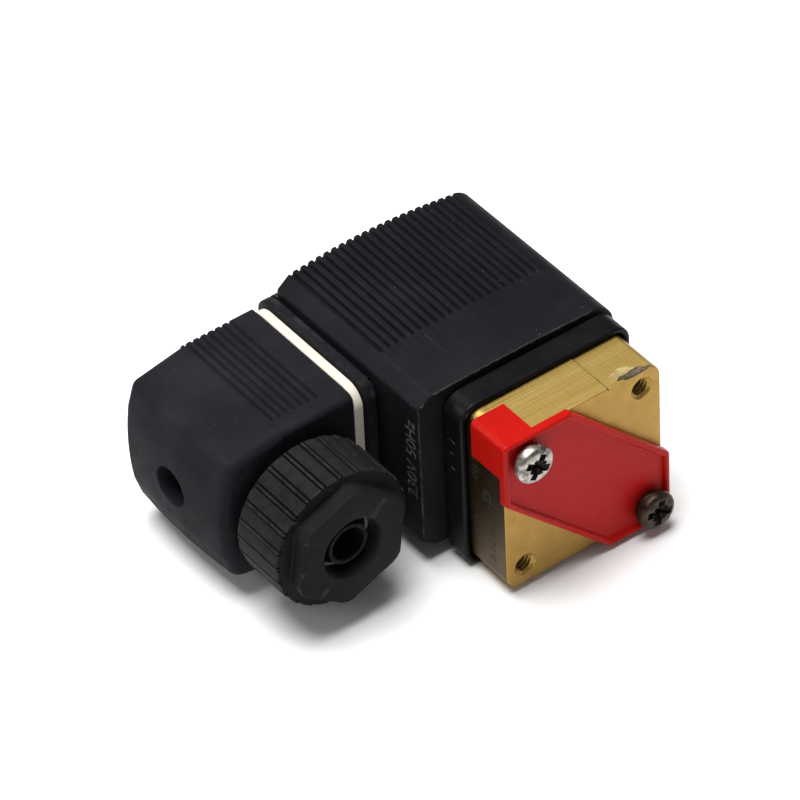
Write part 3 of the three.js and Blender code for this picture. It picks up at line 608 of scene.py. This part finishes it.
def coil_ring(y, edge, grooves_open):
    """The coil's outline at y, drawn in by edge; grooves_open goes from 0 to 1 where they start."""
    back = COIL_HIGH.y - BASE_OVERHANG
    share = (y - COIL_LOW.y) / (back - COIL_LOW.y)
    mid = (COIL_LOW.z + COIL_HIGH.z) / 2
    crown = lerp(FRONT_CROWN, (COIL_HIGH.z - COIL_LOW.z) / 2, share)
    half = coil_half_outline(crown, lerp(FRONT_SAGITTA, BACK_SAGITTA, share))
    outline = [(x, mid + h) for x, h in half] + [(x, mid - h) for x, h in reversed(half)][:-1]
    ring = []
    for (x, z), normal in zip(outline, inward_normals(outline)):
        flat = abs(normal.y) > 0.7
        depth = COIL_GROOVES["depth"] * groove_share(x, COIL_GROOVES) * grooves_open if flat else 0
        ring.append((x + normal.x * (edge + depth), y, z + normal.y * (edge + depth)))
    return ring


def coil_housing():
    front, back = COIL_LOW.y, COIL_HIGH.y - BASE_OVERHANG
    start = COIL_GROOVES["start"]
    stations = [(front + t, d, 0) for d, t in fillet(0.35)]
    stations += [(lerp(front, start, k / 3), 0, 0) for k in (1, 2)]
    run_out = 0.7  # the grooves reach their full depth over this length
    stations += [(start + run_out * t, 0, smooth(0, 1, t)) for t in (0, 0.2, 0.4, 0.6, 0.8, 1)]
    stations += [(lerp(start + run_out, back - COIL_BACK_EDGE, k / 6), 0, 1) for k in range(1, 6)]
    stations += [(back - t, d, 1) for d, t in reversed(fillet(COIL_BACK_EDGE))]
    shell = loft([coil_ring(*station) for station in stations])
    half = COIL_BASE_SIDE / 2
    outline = rounded_box(COIL_HIGH.y - COIL_BASE_SIDE, COIL_HIGH.y, PLUG.z - half, PLUG.z + half, 3)
    side = COIL_LOW.x + BASE_THICK
    base = pillow(outline, COIL_LOW.x, side + 2, 0.4, along_x)
    # a shadow gap runs between the base and the coil's side
    shadow = pillow(inset(outline, -1), side - 0.55, side, 0.05, along_x)
    core = pillow(inset(outline, 0.45), side - 0.8, side + 0.3, 0.05, along_x)
    base = join(cut(base, shadow), core)
    body = join(shell, base)
    low, high = box_mm("magnet_yoke")
    gap = Vector((0.4, 0.5, 2.7))
    body = cut(body, box_shape(low - gap, high + gap))
    body = cut(body, turned([(CORE_BORE_R, front - 1), (CORE_BORE_R, back + 1)], AXIS, AXIS))
    for name in ("coil_tab_1", "coil_tab_2", "earth_tab"):
        low, high = box_mm(name)
        room = Vector((0, 0.3, 0.3))
        body = cut(body, box_shape(low - room, high + room))
    screw_hole = [(PLUG_SCREW_HOLE_R, COIL_LOW.x - 1), (PLUG_SCREW_HOLE_R, COIL_LOW.x + 6)]
    body = cut(body, turned_x(screw_hole, PLUG.y, PLUG.z, 24))
    painted(body, HOUSING)
    place(body, "coil_shell", "valve", ["coil_housing"])


def coil_flash():
    """The thin ragged line of flash along the coil's front top edge."""
    x0, x1 = COIL_LOW.x + BASE_THICK + 0.6, COIL_HIGH.x - COIL_RIGHT_R
    mid = (COIL_LOW.z + COIL_HIGH.z) / 2
    rings = []
    steps = 220
    for k in range(steps + 1):
        x = lerp(x0, x1, k / steps)
        drop = 1.15 * (1 - smooth(x0, COIL_SHOULDER + 1, x))
        top = mid + FRONT_CROWN - FRONT_SAGITTA * ((x - COIL_CREST) / COIL_REACH) ** 2 - drop - 0.12
        lift = 0.10 + 0.16 * max(0, noise.noise((x * 1.7, 3, 0))) + 0.08 * noise.noise((x * 6, 1, 0))
        lean = 0.12 * noise.noise((x * 0.9, 7, 0))
        wide = 0.09 + 0.05 * noise.noise((x * 2.3, 5, 0))
        y = COIL_LOW.y + 0.12 + lean
        rings.append([
            (x, y - wide, top - 0.15), (x, y + wide, top - 0.05),
            (x, y + wide * 0.4, top + lift), (x, y - wide * 0.6, top + lift * 0.8)])
    place(painted(loft(rings), FLASH), "coil_flash_line", "valve")


def coil_print():
    spot = Vector((COIL_LOW.x + BASE_THICK, COIL_LOW.y + 2.2, 20.6))
    text = lettering("230V 50Hz", 3.7, 0.03)
    text.data.transform(Matrix.Translation(spot) @ UPWARDS_ON_LEFT)
    place(painted(text, WHITE_PRINT), "coil_rating_print", "valve")


# ---------- collar ----------
def body_collar():
    low, high = COLLAR_LOW, COLLAR_HIGH
    outer = rounded_box(low.x, high.x, low.z, high.z, 3.5, 12)
    wall = 1.0

    def toward_hole(r):
        angles = [math.atan2(z - AXIS, x - AXIS) for x, z in outer]
        return [(AXIS + r * math.cos(a), AXIS + r * math.sin(a)) for a in angles]

    web = 0.7
    rings = [along_y(inset(outer, d), low.y + t) for d, t in fillet(0.45)]
    rings += [along_y(inset(outer, d), high.y - t) for d, t in reversed(fillet(0.5))]
    rings.append(along_y(toward_hole(9.2), high.y))
    rings.append(along_y(toward_hole(9.2), high.y - web))
    rings.append(along_y(inset(outer, wall), high.y - web))
    rings.append(along_y(inset(outer, wall), low.y + 0.25))
    rings.append(along_y(inset(outer, wall - 0.25), low.y))
    collar = painted(loft(rings, ring_shaped=True), COLLAR)
    place(collar, "collar_shell", "valve", ["body_collar"])
    marks = [(11.7, 25.4, 1.9, "/"), (11.9, 22.6, 1.4, "1"), (11.8, 19.4, 1.4, "2")]
    for i, (y, z, size, text) in enumerate(marks):
        mark = lettering(text, size, 0.04)
        mark.data.transform(Matrix.Translation((low.x, y, z)) @ UPWARDS_ON_LEFT)
        place(painted(mark, FLASH), f"collar_mark_{i + 1}", "valve")


# ---------- brass body ----------
def dent(x, y, reach, bottom, material):
    """A shallow ragged scoop in the body's top; reach is its half length and half width."""
    rings = []
    count = 48
    for k in range(7):
        level = k / 6
        grow = math.sqrt(level + 0.02)
        ring = []
        for i in range(count):
            a = 2 * math.pi * i / count
            ragged = 1 + 0.3 * noise.noise((math.cos(a) * 2, math.sin(a) * 2, x))
            along = reach[0] * ragged * grow * math.cos(a)
            across = reach[1] * ragged * grow * math.sin(a)
            ring.append((x + along, y + across - 0.1 * along, lerp(bottom, SIDE, level)))
        rings.append(ring)
    return painted(loft(rings), material)


def valve_body():
    outline = rounded_box(BODY_LOW.x, BODY_HIGH.x, BODY_LOW.z, BODY_HIGH.z, 2.8, 12)
    body = painted(pillow(outline, BODY_LOW.y, BODY_HIGH.y, 0.22), BRASS)
    step = box_shape((STEP_X, -1, SIDE - STEP_DEPTH), (SIDE + 1, BODY_HIGH.y + 1, SIDE + 1))
    body = cut(body, painted(step, BRASS))
    near, far = HOLE_INSET, SIDE - HOLE_INSET
    depth = 10.5
    for x, z in ((near, near), (far, far)):
        tool = threaded(x, z, -0.6, depth, TAP_R + 0.2, TAP_R - 0.32, TAP_PITCH)
        mouth = turned([(TAP_R + 0.6, -0.35), (TAP_R + 0.1, 0.25), (TAP_R - 0.3, 0.45)], x, z, 40)
        body = cut(body, painted(tool, BRASS), painted(mouth, BRASS))
    bolt_r = 2.15
    for x, z in ((near, far), (far, near)):
        body = cut(body, painted(turned([(bolt_r, -1), (bolt_r, depth)], x, z, 32), BRASS))
    chamber = turned([(7, 6), (7, 11.2), (9, 11.2), (9, BODY_HIGH.y + 1)], AXIS, AXIS)
    body = cut(body, painted(chamber, BRASS))
    # the step's foot, a slot painted dark brass as painted shade along the step, and the knock on the top's
    # front corner: a pale scoop with a dark bruise in it
    foot = box_shape((STEP_X - 0.22, -1, SIDE - 0.5), (STEP_X + 0.04, BODY_HIGH.y + 1, SIDE + 1))
    body = cut(body, painted(foot, BRUISE_AND_GROOVE_SHADE), dent(25.8, 1.7, (4.3, 2.4), SIDE - 0.3, WORN_BRASS))
    body = cut(body, dent(27.0, 0.6, (3.9, 1.2), SIDE - 0.55, BRUISE_AND_GROOVE_SHADE))
    # each mark's text, letter size, and its middle's y and z
    marks = [
        ("P", 5.4, 3.6, 17.6), ("0-10 bar", 2.5, 3.4, 8.6),
        ("DN 2", 2.0, 7.6, 21.8), ("G 1/8", 2.0, 7.4, 9.4)]
    for i, (text, size, y, z) in enumerate(marks):
        mark = painted(lettering(text, size, 0.02), STAMP_PAINT)
        mark.data.transform(Matrix.Translation((BODY_LOW.x, y, z)) @ UPWARDS_ON_LEFT)
        place(mark, f"body_mark_{i + 1}", "valve")
    place(body, "brass_body", "valve", ["valve_body"])


# ---------- cable plug ----------
def plug_half_outline():
    """(x, height over the middle) from the open face over the top to the end face's middle."""
    half = (PLUG_HIGH.z - PLUG_LOW.z) / 2
    steps = 90
    straight = [(lerp(PLUG_HIGH.x, PLUG_KINK + 0.6, k / steps), half) for k in range(steps)]
    end_top = half - PLUG_TAPER

    def end_x(h):
        return PLUG_END - PLUG_CROWN * (1 - (h / half) ** 2)

    taper = rounded([
        (PLUG_KINK + 0.6, half, 0), (PLUG_KINK, half, 4), (PLUG_END, end_top, PLUG_CORNER),
        (end_x(half * 0.55), half * 0.55, 0)], 12, closed=False)
    bow = [(end_x(half * 0.55 * (1 - k / 8)), half * 0.55 * (1 - k / 8)) for k in range(1, 9)]
    return straight + taper[1:] + bow


def plug_ring(y, depth, grooves_open):
    """depth is how far this station lies outside the plug's flat middle stretch, in millimetres."""
    half_y = (PLUG_HIGH.y - PLUG_FRONT) / 2
    half = plug_half_outline()
    outline = [(x, PLUG.z + h) for x, h in half] + [(x, PLUG.z - h) for x, h in reversed(half)][1:]
    bow = PLUG_PLAN_CROWN * ((y - PLUG.y) / half_y) ** 2
    ring = []
    for (x, z), normal in zip(outline, inward_normals(outline)):
        # by the kink an inset goes straight up or down, so that neighbouring points can't cross
        upright = Vector((0, math.copysign(1, PLUG.z - z)))
        normal = normal.lerp(upright, smooth(PLUG_KINK - 4, PLUG_KINK - 1, x))
        r = lerp(PLUG_EDGE, PLUG_OPEN_EDGE, smooth(PLUG_KINK - 0.3, PLUG_KINK + 0.3, x))
        t = max(0, depth - (PLUG_EDGE - r)) / r
        edge = r * (1 - math.sqrt(max(0.0, 1 - min(1.0, t) ** 2)))
        groove = PLUG_GROOVES["depth"] * groove_share(x, PLUG_GROOVES) * grooves_open
        if abs(normal.y) < 0.7 or x > PLUG_HIGH.x - 2:
            groove = 0
        # a fine seam line runs round at the kink
        seam = 0.09 * (1 - smooth(0.05, 0.16, abs(x - PLUG_KINK)))
        inward = edge + groove + seam
        side = 0 if x > PLUG_HIGH.x - 0.01 else normal.x * inward
        shift = bow * smooth(PLUG_KINK, PLUG_END, x) if x < PLUG_KINK else 0
        ring.append((x + side + shift, y, z + normal.y * inward))
    return ring


def plug_housing():
    front, back = PLUG_FRONT, PLUG_HIGH.y
    start = PLUG_GROOVES["start"]
    depths = [PLUG_EDGE * math.sin(math.pi / 2 * k / 9) for k in range(10)]
    stations = [(front + PLUG_EDGE - d, d, 0) for d in reversed(depths)]
    stations += [(start + 0.5 * t, 0, smooth(0, 1, t)) for t in (0, 0.25, 0.5, 0.75, 1)]
    stations += [(lerp(start, back - PLUG_EDGE, k / 5), 0, 1) for k in range(1, 5)]
    stations += [(back - PLUG_EDGE + d, d, 1) for d in depths]
    shell = loft([plug_ring(*station) for station in stations])
    neck_low = box_mm("plug_housing")[0].y
    neck_r, neck_bore_r, cable_hole_r = 9.7, 7.2, 5.2
    neck = [(neck_r - 0.6, neck_low), (neck_r, neck_low + 0.6), (neck_r, front + 1.5)]
    neck = turned(neck, GLAND.x, GLAND.z)
    body = join(shell, neck)
    wall = 2.4
    room = box_shape((PLUG_END + 4.9, front + wall, PLUG_LOW.z + wall),
                     (PLUG_HIGH.x + 1, back - wall, PLUG_HIGH.z - wall))
    body = cut(body, room)
    boss = turned_x([(5.2, PLUG_LOW.x + 3), (5.2, -26)], PLUG.y, PLUG.z, 40)
    well_floor = PLUG_LOW.x + WELL_DEPTH
    body = join(body, boss)
    well = turned_x([
        (WELL_R + 1.2, PLUG_LOW.x - 1), (WELL_R + 0.45, PLUG_LOW.x - 0.02),
        (WELL_R + 0.1, PLUG_LOW.x + 0.25), (WELL_R, PLUG_LOW.x + 0.6), (WELL_R, well_floor)], PLUG.y, PLUG.z)
    screw_hole = [(PLUG_SCREW_HOLE_R, well_floor - 1), (PLUG_SCREW_HOLE_R, -25)]
    body = cut(body, well, turned_x(screw_hole, PLUG.y, PLUG.z, 24))
    neck_bore = [(neck_bore_r, neck_low - 1), (neck_bore_r, front)]
    cable_hole = [(cable_hole_r, front - 1), (cable_hole_r, front + wall + 1)]
    body = cut(body, turned(neck_bore, GLAND.x, GLAND.z, 48))
    body = cut(body, turned(cable_hole, GLAND.x, GLAND.z, 40))
    place(painted(body, PLUG_BLACK), "plug_shell", "cable_plug", ["plug_housing"])


def plug_gasket():
    outline = rounded_box(GASKET_LOW.y, GASKET_HIGH.y, GASKET_LOW.z, GASKET_HIGH.z, 3.6, 12)
    gasket = pillow(outline, GASKET_LOW.x, GASKET_HIGH.x, 0.3, along_x)
    window = rounded_box(PLUG.y - 9.75, PLUG.y + 9.75, PLUG.z - 6, PLUG.z + 6, 1, 5)
    earth = rounded_box(PLUG.y - 4, PLUG.y + 4, PLUG.z + 4, PLUG.z + 10.5, 0.6, 4)
    gasket = cut(gasket, pillow(window, GASKET_LOW.x - 1, GASKET_HIGH.x + 1, 0.05, along_x))
    gasket = cut(gasket, pillow(earth, GASKET_LOW.x - 1, GASKET_HIGH.x + 1, 0.05, along_x))
    place(painted(gasket, GASKET), "gasket", "cable_plug", ["plug_gasket"])


# ---------- cable gland ----------
# One division of the grip as (share of its angle, depth): groove, wide land, groove, narrow ridge.
GRIP = [(0.0, 0.75), (0.03, 0.28), (0.36, 0.16), (0.70, 0.06), (0.73, 0.75), (0.78, 0.75), (0.81, 0.02),
        (0.94, 0.0), (0.97, 0.75)]


def gland_nut():
    low, high = GLAND_LOW, GLAND_HIGH
    outer = (high.x - low.x) / 2
    divisions = [(i + share, depth) for i in range(GLAND_RIBS) for share, depth in GRIP]
    angles = [2 * math.pi * share / GLAND_RIBS for share, depth in divisions]
    shoulder = low.y + HEX_DEPTH
    hex_outline = []
    for a in angles:
        turn = (math.degrees(a) - HEX_TURN - 30) % 60 - 30
        flat = HEX_FLATS / 2 / math.cos(math.radians(turn))
        hex_outline.append(min(flat, HEX_CLIP_R))

    def ring(radius_of, y):
        return [(GLAND.x + radius_of(k) * math.cos(a), y, GLAND.z + radius_of(k) * math.sin(a))
                for k, a in enumerate(angles)]

    def grip(inward):
        return lambda k: outer - max(inward, divisions[k][1] + inward * 0.3)

    def hexagon(inward):
        return lambda k: hex_outline[k] - inward

    def plain(r):
        return lambda k: r

    thread_r, entry_r = 10.1, 5.45
    rings = [ring(plain(thread_r), high.y), ring(plain(outer - 0.9), high.y)]
    rings += [ring(grip(d), high.y - t) for d, t in fillet(0.45, 3)]
    rings += [ring(grip(0), lerp(high.y, shoulder, k / 4)) for k in (1, 2, 3)]
    rings += [ring(grip(d), shoulder + t) for d, t in reversed(fillet(0.4, 3))]
    rings += [ring(plain(outer - 0.75), shoulder), ring(plain(HEX_CLIP_R + 0.35), shoulder - 0.12)]
    rings += [ring(hexagon(-0.25), shoulder - 0.2), ring(hexagon(0), shoulder - 0.55)]
    rings += [ring(hexagon(d), low.y + t) for d, t in reversed(fillet(0.3, 3))]
    mouth = ((0.75, 0), (0.35, 0.12), (0.1, 0.4), (0, 0.8))
    rings += [ring(plain(entry_r + d), low.y + t) for d, t in mouth]
    rings += [ring(plain(entry_r), shoulder + 0.2), ring(plain(thread_r), shoulder + 0.2)]
    nut = painted(loft(rings, ring_shaped=True), GLAND_BLACK)
    place(nut, "gland_grip", "gland", ["gland_nut"], sharp=28)


def gland_seal():
    low, high = SEAL_LOW, SEAL_HIGH
    hole, lip = 3.05, 3.9
    profile = [
        (hole, high.y), (hole, low.y + 0.3), (hole + 0.12, low.y + 0.06), (hole + 0.3, low.y),
        (lip - 0.25, low.y), (lip - 0.06, low.y + 0.08), (lip, low.y + 0.35), (lip + 0.05, low.y + 2.4),
        (lip + 1.1, low.y + 3.2), (6.8, low.y + 3.7), (6.8, high.y)]
    seal = turned(profile, GLAND.x, GLAND.z, 64, ring_shaped=True)
    place(painted(seal, RUBBER), "seal_ring", "cable_plug", ["gland_seal"])


# ---------- flange cover ----------
def cover_ring(inward, y):
    low, high = COVER_LOW, COVER_HIGH
    x0, x1 = low.x + inward, high.x - inward
    z0, z1 = low.z + inward, high.z - inward
    upper = COVER_DIAGONALS[0] - inward * math.sqrt(2)
    lower = COVER_DIAGONALS[1] + inward * math.sqrt(2)
    r = max(0.25, 0.9 - inward)
    corners = [(x0, z1, r), (upper - z1, z1, r), (x1, upper - x1, r),
               (x1, z0, r), (lower - z0, z0, r), (x0, lower - x0, r)]
    return along_y(rounded(corners, 6), y)


def flange_cover():
    low, high = COVER_LOW, COVER_HIGH
    back, front = -0.3, low.y
    floor = front + COVER_FLOOR
    half = COVER_RIM / 2
    rings = [cover_ring(0.1, back), cover_ring(0, back - 0.12)]
    arc = [math.pi * k / 10 for k in range(11)]
    rings += [cover_ring(half * (1 - math.cos(a)), front + half * (1 - math.sin(a))) for a in arc]
    rings += [cover_ring(COVER_RIM + 0.05, floor - 0.1), cover_ring(COVER_RIM + 0.2, floor)]
    plate = painted(loft(rings), COVER_RED)
    # the corner clip: an L of two tabs that reaches back over the body's top and left side
    thick, top, side = 0.75, 6.75, 7.6
    x0, z1 = low.x, high.z
    clip = rounded([
        (x0, z1 - side, 0.3), (x0, z1, 1.1), (x0 + top, z1, 0.3), (x0 + top, z1 - thick, 0.2),
        (x0 + thick, z1 - thick, 0.35), (x0 + thick, z1 - side, 0.2)], 6)
    tabs = painted(pillow(clip, floor - 0.2, high.y, 0.16, steps=3), COVER_RED)
    plate = join(plate, tabs)
    hole_r = 2.3
    for spot in (middle("lock_washer_1"), middle("lock_washer_2")):
        plate = cut(plate, painted(turned([(hole_r, -4), (hole_r, 1)], spot.x, spot.z, 40), COVER_RED))
    plate.data.materials.append(COVER_THIN)
    thin = [p for p in plate.data.polygons if abs(p.center.y - floor) < 0.06 and abs(p.normal.y) > 0.9]
    for polygon in thin:
        polygon.material_index = len(plate.data.materials) - 1
    place(plate, "transport_cover", "valve", ["flange_cover"])


def bar(u, v, y):
    """A rectangle 2 u long and 2 v wide at y, for one arm of a screw's recess."""
    return along_y([(-u, -v), (u, -v), (u, v), (-u, v)], y)


def screw(number, metal):
    node = f"cover_screw_{number}"
    low, high = box_mm(node)
    spot = (low + high) / 2
    r = (high.x - low.x) / 2
    face, under = low.y, middle(f"lock_washer_{number}").y - 0.7
    head = [(r * 0.42, face + 0.1), (r * 0.7, face + 0.16), (r * 0.86, face + 0.34),
            (r * 0.96, face + 0.66), (r, face + 1.05), (r, under - 0.15), (r - 0.15, under)]
    head = painted(turned(head, spot.x, spot.z, 72), metal)
    shank = threaded(spot.x, spot.z, under - 0.2, high.y, 1.85, 1.6, 0.7)
    head = join(head, painted(shank, metal))
    turn = Matrix.Translation((spot.x, 0, spot.z)) @ Matrix.Rotation(0.5 if number == 1 else 0.2, 4, "Y")
    # the recess's main arms and its thin diagonal ones, as angle, reach, half width and depth
    arms = ((0, 2.5, 0.66, 1.6), (45, 1.7, 0.38, 1.0))
    for quarter in range(2):
        for angle, reach, wide, deep in arms:
            slit = loft([bar(reach, wide, face - 0.5), bar(reach * 0.98, wide, face + 0.3),
                         bar(reach * 0.3, wide * 0.6, face + deep)])
            spin = Matrix.Rotation(math.radians(angle + 90 * quarter), 4, "Y")
            slit.data.transform(turn @ spin)
            # the slits' faces take the near-black metal: painted shade in the cross recess
            head = cut(head, painted(slit, RECESS_SHADE))
    place(head, f"screw_{number}", f"screw_{number}", [node])


def lock_washer(number, metal):
    node = f"lock_washer_{number}"
    low, high = box_mm(node)
    spot = (low + high) / 2
    inner, outer = 2.15, (high.z - low.z) / 2
    count = 72
    rings = []
    for k in range(count + 1):
        share = k / count
        a = math.radians(8 + 344 * share) + 0.9  # the split is 16 degrees wide
        rise = 0.22 * (share - 0.5)
        corners = rounded([
            (inner, low.y + 0.05, 0.14), (outer, low.y + 0.05, 0.2),
            (outer, high.y - 0.05, 0.2), (inner, high.y - 0.05, 0.14)], 3)
        rings.append([(spot.x + r * math.cos(a), y + rise, spot.z + r * math.sin(a)) for r, y in corners])
    place(painted(loft(rings), metal), f"split_washer_{number}", f"washer_{number}", [node])


# ---------- coil nut, washer and stud ----------
def coil_nut():
    low, high = NUT_LOW, NUT_HIGH
    flats = high.z - low.z
    count = 96
    angles = [2 * math.pi * k / count for k in range(count)]
    across = [flats / 2 / math.cos(math.radians(math.degrees(a) % 60 - 30)) for a in angles]
    chamfer_r = flats / 2 * 0.98

    def ring(share, y):
        """The hexagon at y, blended by share from the round chamfer."""
        radii = [lerp(chamfer_r, r, share) for r in across]
        return [(AXIS + r * math.cos(a), y, AXIS + r * math.sin(a)) for r, a in zip(radii, angles)]

    rings = [ring(0, low.y), ring(1, low.y + 0.45), ring(1, high.y - 0.45), ring(0, high.y)]
    hole = turned([(STUD_HOLE_R, low.y - 1), (STUD_HOLE_R, high.y + 1)], AXIS, AXIS)
    nut = cut(painted(loft(rings), STEEL), painted(hole, STEEL))
    place(nut, "hex_nut", "rear_nut", ["coil_nut"], sharp=25)


def coil_washer():
    low, high = box_mm("coil_washer")
    outer, edge = (high.x - low.x) / 2, 0.15
    profile = [(STUD_HOLE_R, low.y), (outer - edge, low.y), (outer, low.y + edge),
               (outer, high.y - edge), (outer - edge, high.y), (STUD_HOLE_R, high.y)]
    washer = turned(profile, AXIS, AXIS, 80, ring_shaped=True)
    place(painted(washer, STEEL), "flat_washer", "nut_washer", ["coil_washer"])


def fixed_core():
    low, high = box_mm("fixed_core")
    core = [(3.5, low.y), (5, low.y + 0.2), (5, high.y - 9.2), (4.2, high.y - 8.2), (4.0, high.y - 7.5)]
    body = painted(turned(core, AXIS, AXIS), STEEL)
    stud = threaded(AXIS, AXIS, high.y - 8.0, high.y, 4.0, 3.6, 1.0, 40)
    body = join(body, painted(stud, STEEL))
    # the bore's walls take the near-black metal: painted shade in the hole
    bore = turned([(1.2, low.y - 1), (1.2, high.y - 0.4), (1.7, high.y + 0.2)], AXIS, AXIS, 32)
    body = cut(body, painted(bore, RECESS_SHADE))
    place(body, "core_stud", "valve", ["fixed_core"])


def core_tube():
    low, high = box_mm("core_tube")
    flange = (high.x - low.x) / 2
    profile = [
        (5.3, low.y), (6.5, low.y), (6.7, low.y + 0.2), (6.7, 13.35), (flange - 0.1, 13.35),
        (flange, 13.5), (flange, 14.1), (flange - 0.1, 14.2), (6.3, 14.2), (6.3, high.y - 0.2),
        (6.1, high.y), (5.3, high.y)]
    tube = turned(profile, AXIS, AXIS, 72, ring_shaped=True)
    place(painted(tube, STEEL), "armature_tube", "valve", ["core_tube"])


def return_spring():
    """The plunger's spring: a helix of round wire between the plunger and the core, carried whole by the
    armature.
    """
    low, high = box_mm("plunger_spring")
    coil_r = (high.x - low.x) / 2 - SPRING_WIRE_R
    section = [2 * math.pi * k / 10 for k in range(10)]
    rings = []
    steps = round(SPRING_TURNS * 36)
    for k in range(steps + 1):
        a = 2 * math.pi * SPRING_TURNS * k / steps
        y = lerp(low.y + SPRING_WIRE_R, high.y - SPRING_WIRE_R, k / steps)
        wire = [(coil_r + SPRING_WIRE_R * math.cos(b), y + SPRING_WIRE_R * math.sin(b)) for b in section]
        rings.append([(AXIS + r * math.cos(a), wire_y, AXIS + r * math.sin(a)) for r, wire_y in wire])
    spring = place(painted(loft(rings), STEEL), "return_spring", "armature", ["plunger_spring"])
    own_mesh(spring)


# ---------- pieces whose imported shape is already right: rounded edges and a real finish ----------
NODE_FINISH = {
    STEEL: ["seat_nozzle", "plunger", "contact_screw_1", "contact_screw_2", "contact_screw_3",
            "plug_screw", "gland_ring"],
    DARK_STEEL: ["magnet_yoke"],
    BRASS: ["coil_tab_1", "coil_tab_2", "earth_tab", "contact_1", "contact_2", "contact_3"],
    COPPER: ["coil_winding", "shading_ring"],
    INSERT: ["coil_bobbin", "plug_insert"],
    RUBBER: ["inlet_o_ring", "outlet_o_ring", "tube_o_ring", "lower_seal", "upper_seal", "plug_screw_seal"],
}
# These are round already, so a bevel would only spoil them.
UNBEVELLED = {"inlet_o_ring", "outlet_o_ring", "tube_o_ring"}


def finish_nodes():
    for material, nodes in NODE_FINISH.items():
        for name in nodes:
            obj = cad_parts[name]
            obj.data.materials.clear()
            obj.data.materials.append(material)
            if name in UNBEVELLED:
                continue
            flatten = obj.modifiers.new("flatten", "DECIMATE")
            flatten.decimate_type = "DISSOLVE"
            flatten.angle_limit = math.radians(2)
            soften = obj.modifiers.new("soften", "BEVEL")
            soften.width = 0.12 * MM
            soften.segments = 2
            soften.limit_method = "ANGLE"
            soften.angle_limit = math.radians(40)


# ---------- stage, light and camera ----------
# Millimetres from the body's low corner, degrees, and the lens's focal length.
CAMERA = {"x": -449.673, "y": -613.993, "z": 728.116, "azimuth": -35.026, "elevation": 42.007,
          "roll": -2.837, "lens": 292.475}


def make_stage():
    mesh = bpy.data.meshes.new("floor")
    half = 3.0
    corners = [(-half, -half, 0), (half, -half, 0), (half, half, 0), (-half, half, 0)]
    mesh.from_pydata(corners, [], [(0, 1, 2, 3)])
    floor = bpy.data.objects.new("floor", mesh)
    bpy.context.scene.collection.objects.link(floor)
    floor.location.z = cad_low.z - 0.05 * MM
    floor.data.materials.append(floor_material())


def area_light(name, place_from_centre, size, power):
    data = bpy.data.lights.new(name, "AREA")
    data.shape = "DISK"
    data.size = size
    data.energy = power
    light = bpy.data.objects.new(name, data)
    bpy.context.scene.collection.objects.link(light)
    centre = (cad_low + cad_high) / 2
    light.location = centre + Vector(place_from_centre)
    light.rotation_mode = "QUATERNION"
    light.rotation_quaternion = (centre - light.location).to_track_quat("-Z", "Y")


def make_light():
    area_light("overhead_softbox", (-0.15, 0.1, 1.1), 0.8, 20.5)
    area_light("back_left_softbox", (-0.8, 0.72, 0.5), 0.45, 2.4)
    world = bpy.data.worlds.new("studio")
    bpy.context.scene.world = world
    world.use_nodes = True
    background = world.node_tree.nodes["Background"]
    background.inputs["Color"].default_value = (1, 1, 1, 1)
    background.inputs["Strength"].default_value = 0.22
    bpy.context.scene.view_settings.view_transform = "Standard"


def make_camera():
    data = bpy.data.cameras.new("camera")
    data.lens = CAMERA["lens"]
    data.sensor_width = 36
    data.clip_start = 0.05
    camera = bpy.data.objects.new("camera", data)
    bpy.context.scene.collection.objects.link(camera)
    a, e, r = (math.radians(CAMERA[k]) for k in ("azimuth", "elevation", "roll"))
    back = Vector((math.sin(a) * math.cos(e), -math.cos(a) * math.cos(e), math.sin(e)))
    right = Vector((math.cos(a), math.sin(a), 0))
    up = back.cross(right)
    side = right * math.cos(r) + up * math.sin(r)
    top = up * math.cos(r) - right * math.sin(r)
    turn = Matrix((side, top, back)).transposed()
    spot = ORIGIN + Vector((CAMERA["x"], CAMERA["y"], CAMERA["z"])) * MM
    camera.matrix_world = Matrix.Translation(spot) @ turn.to_4x4()
    bpy.context.scene.camera = camera


make_stage()
make_light()
make_camera()

coil_housing()
coil_flash()
coil_print()
body_collar()
valve_body()
plug_housing()
plug_gasket()
gland_nut()
gland_seal()
flange_cover()
for number, metal, slot in ((1, SCREW_STEEL, "steel"), (2, DARK_STEEL, "dark_steel")):
    screw(number, metal)
    lock_washer(number, metal)
coil_nut()
coil_washer()
fixed_core()
core_tube()
return_spring()
finish_nodes()
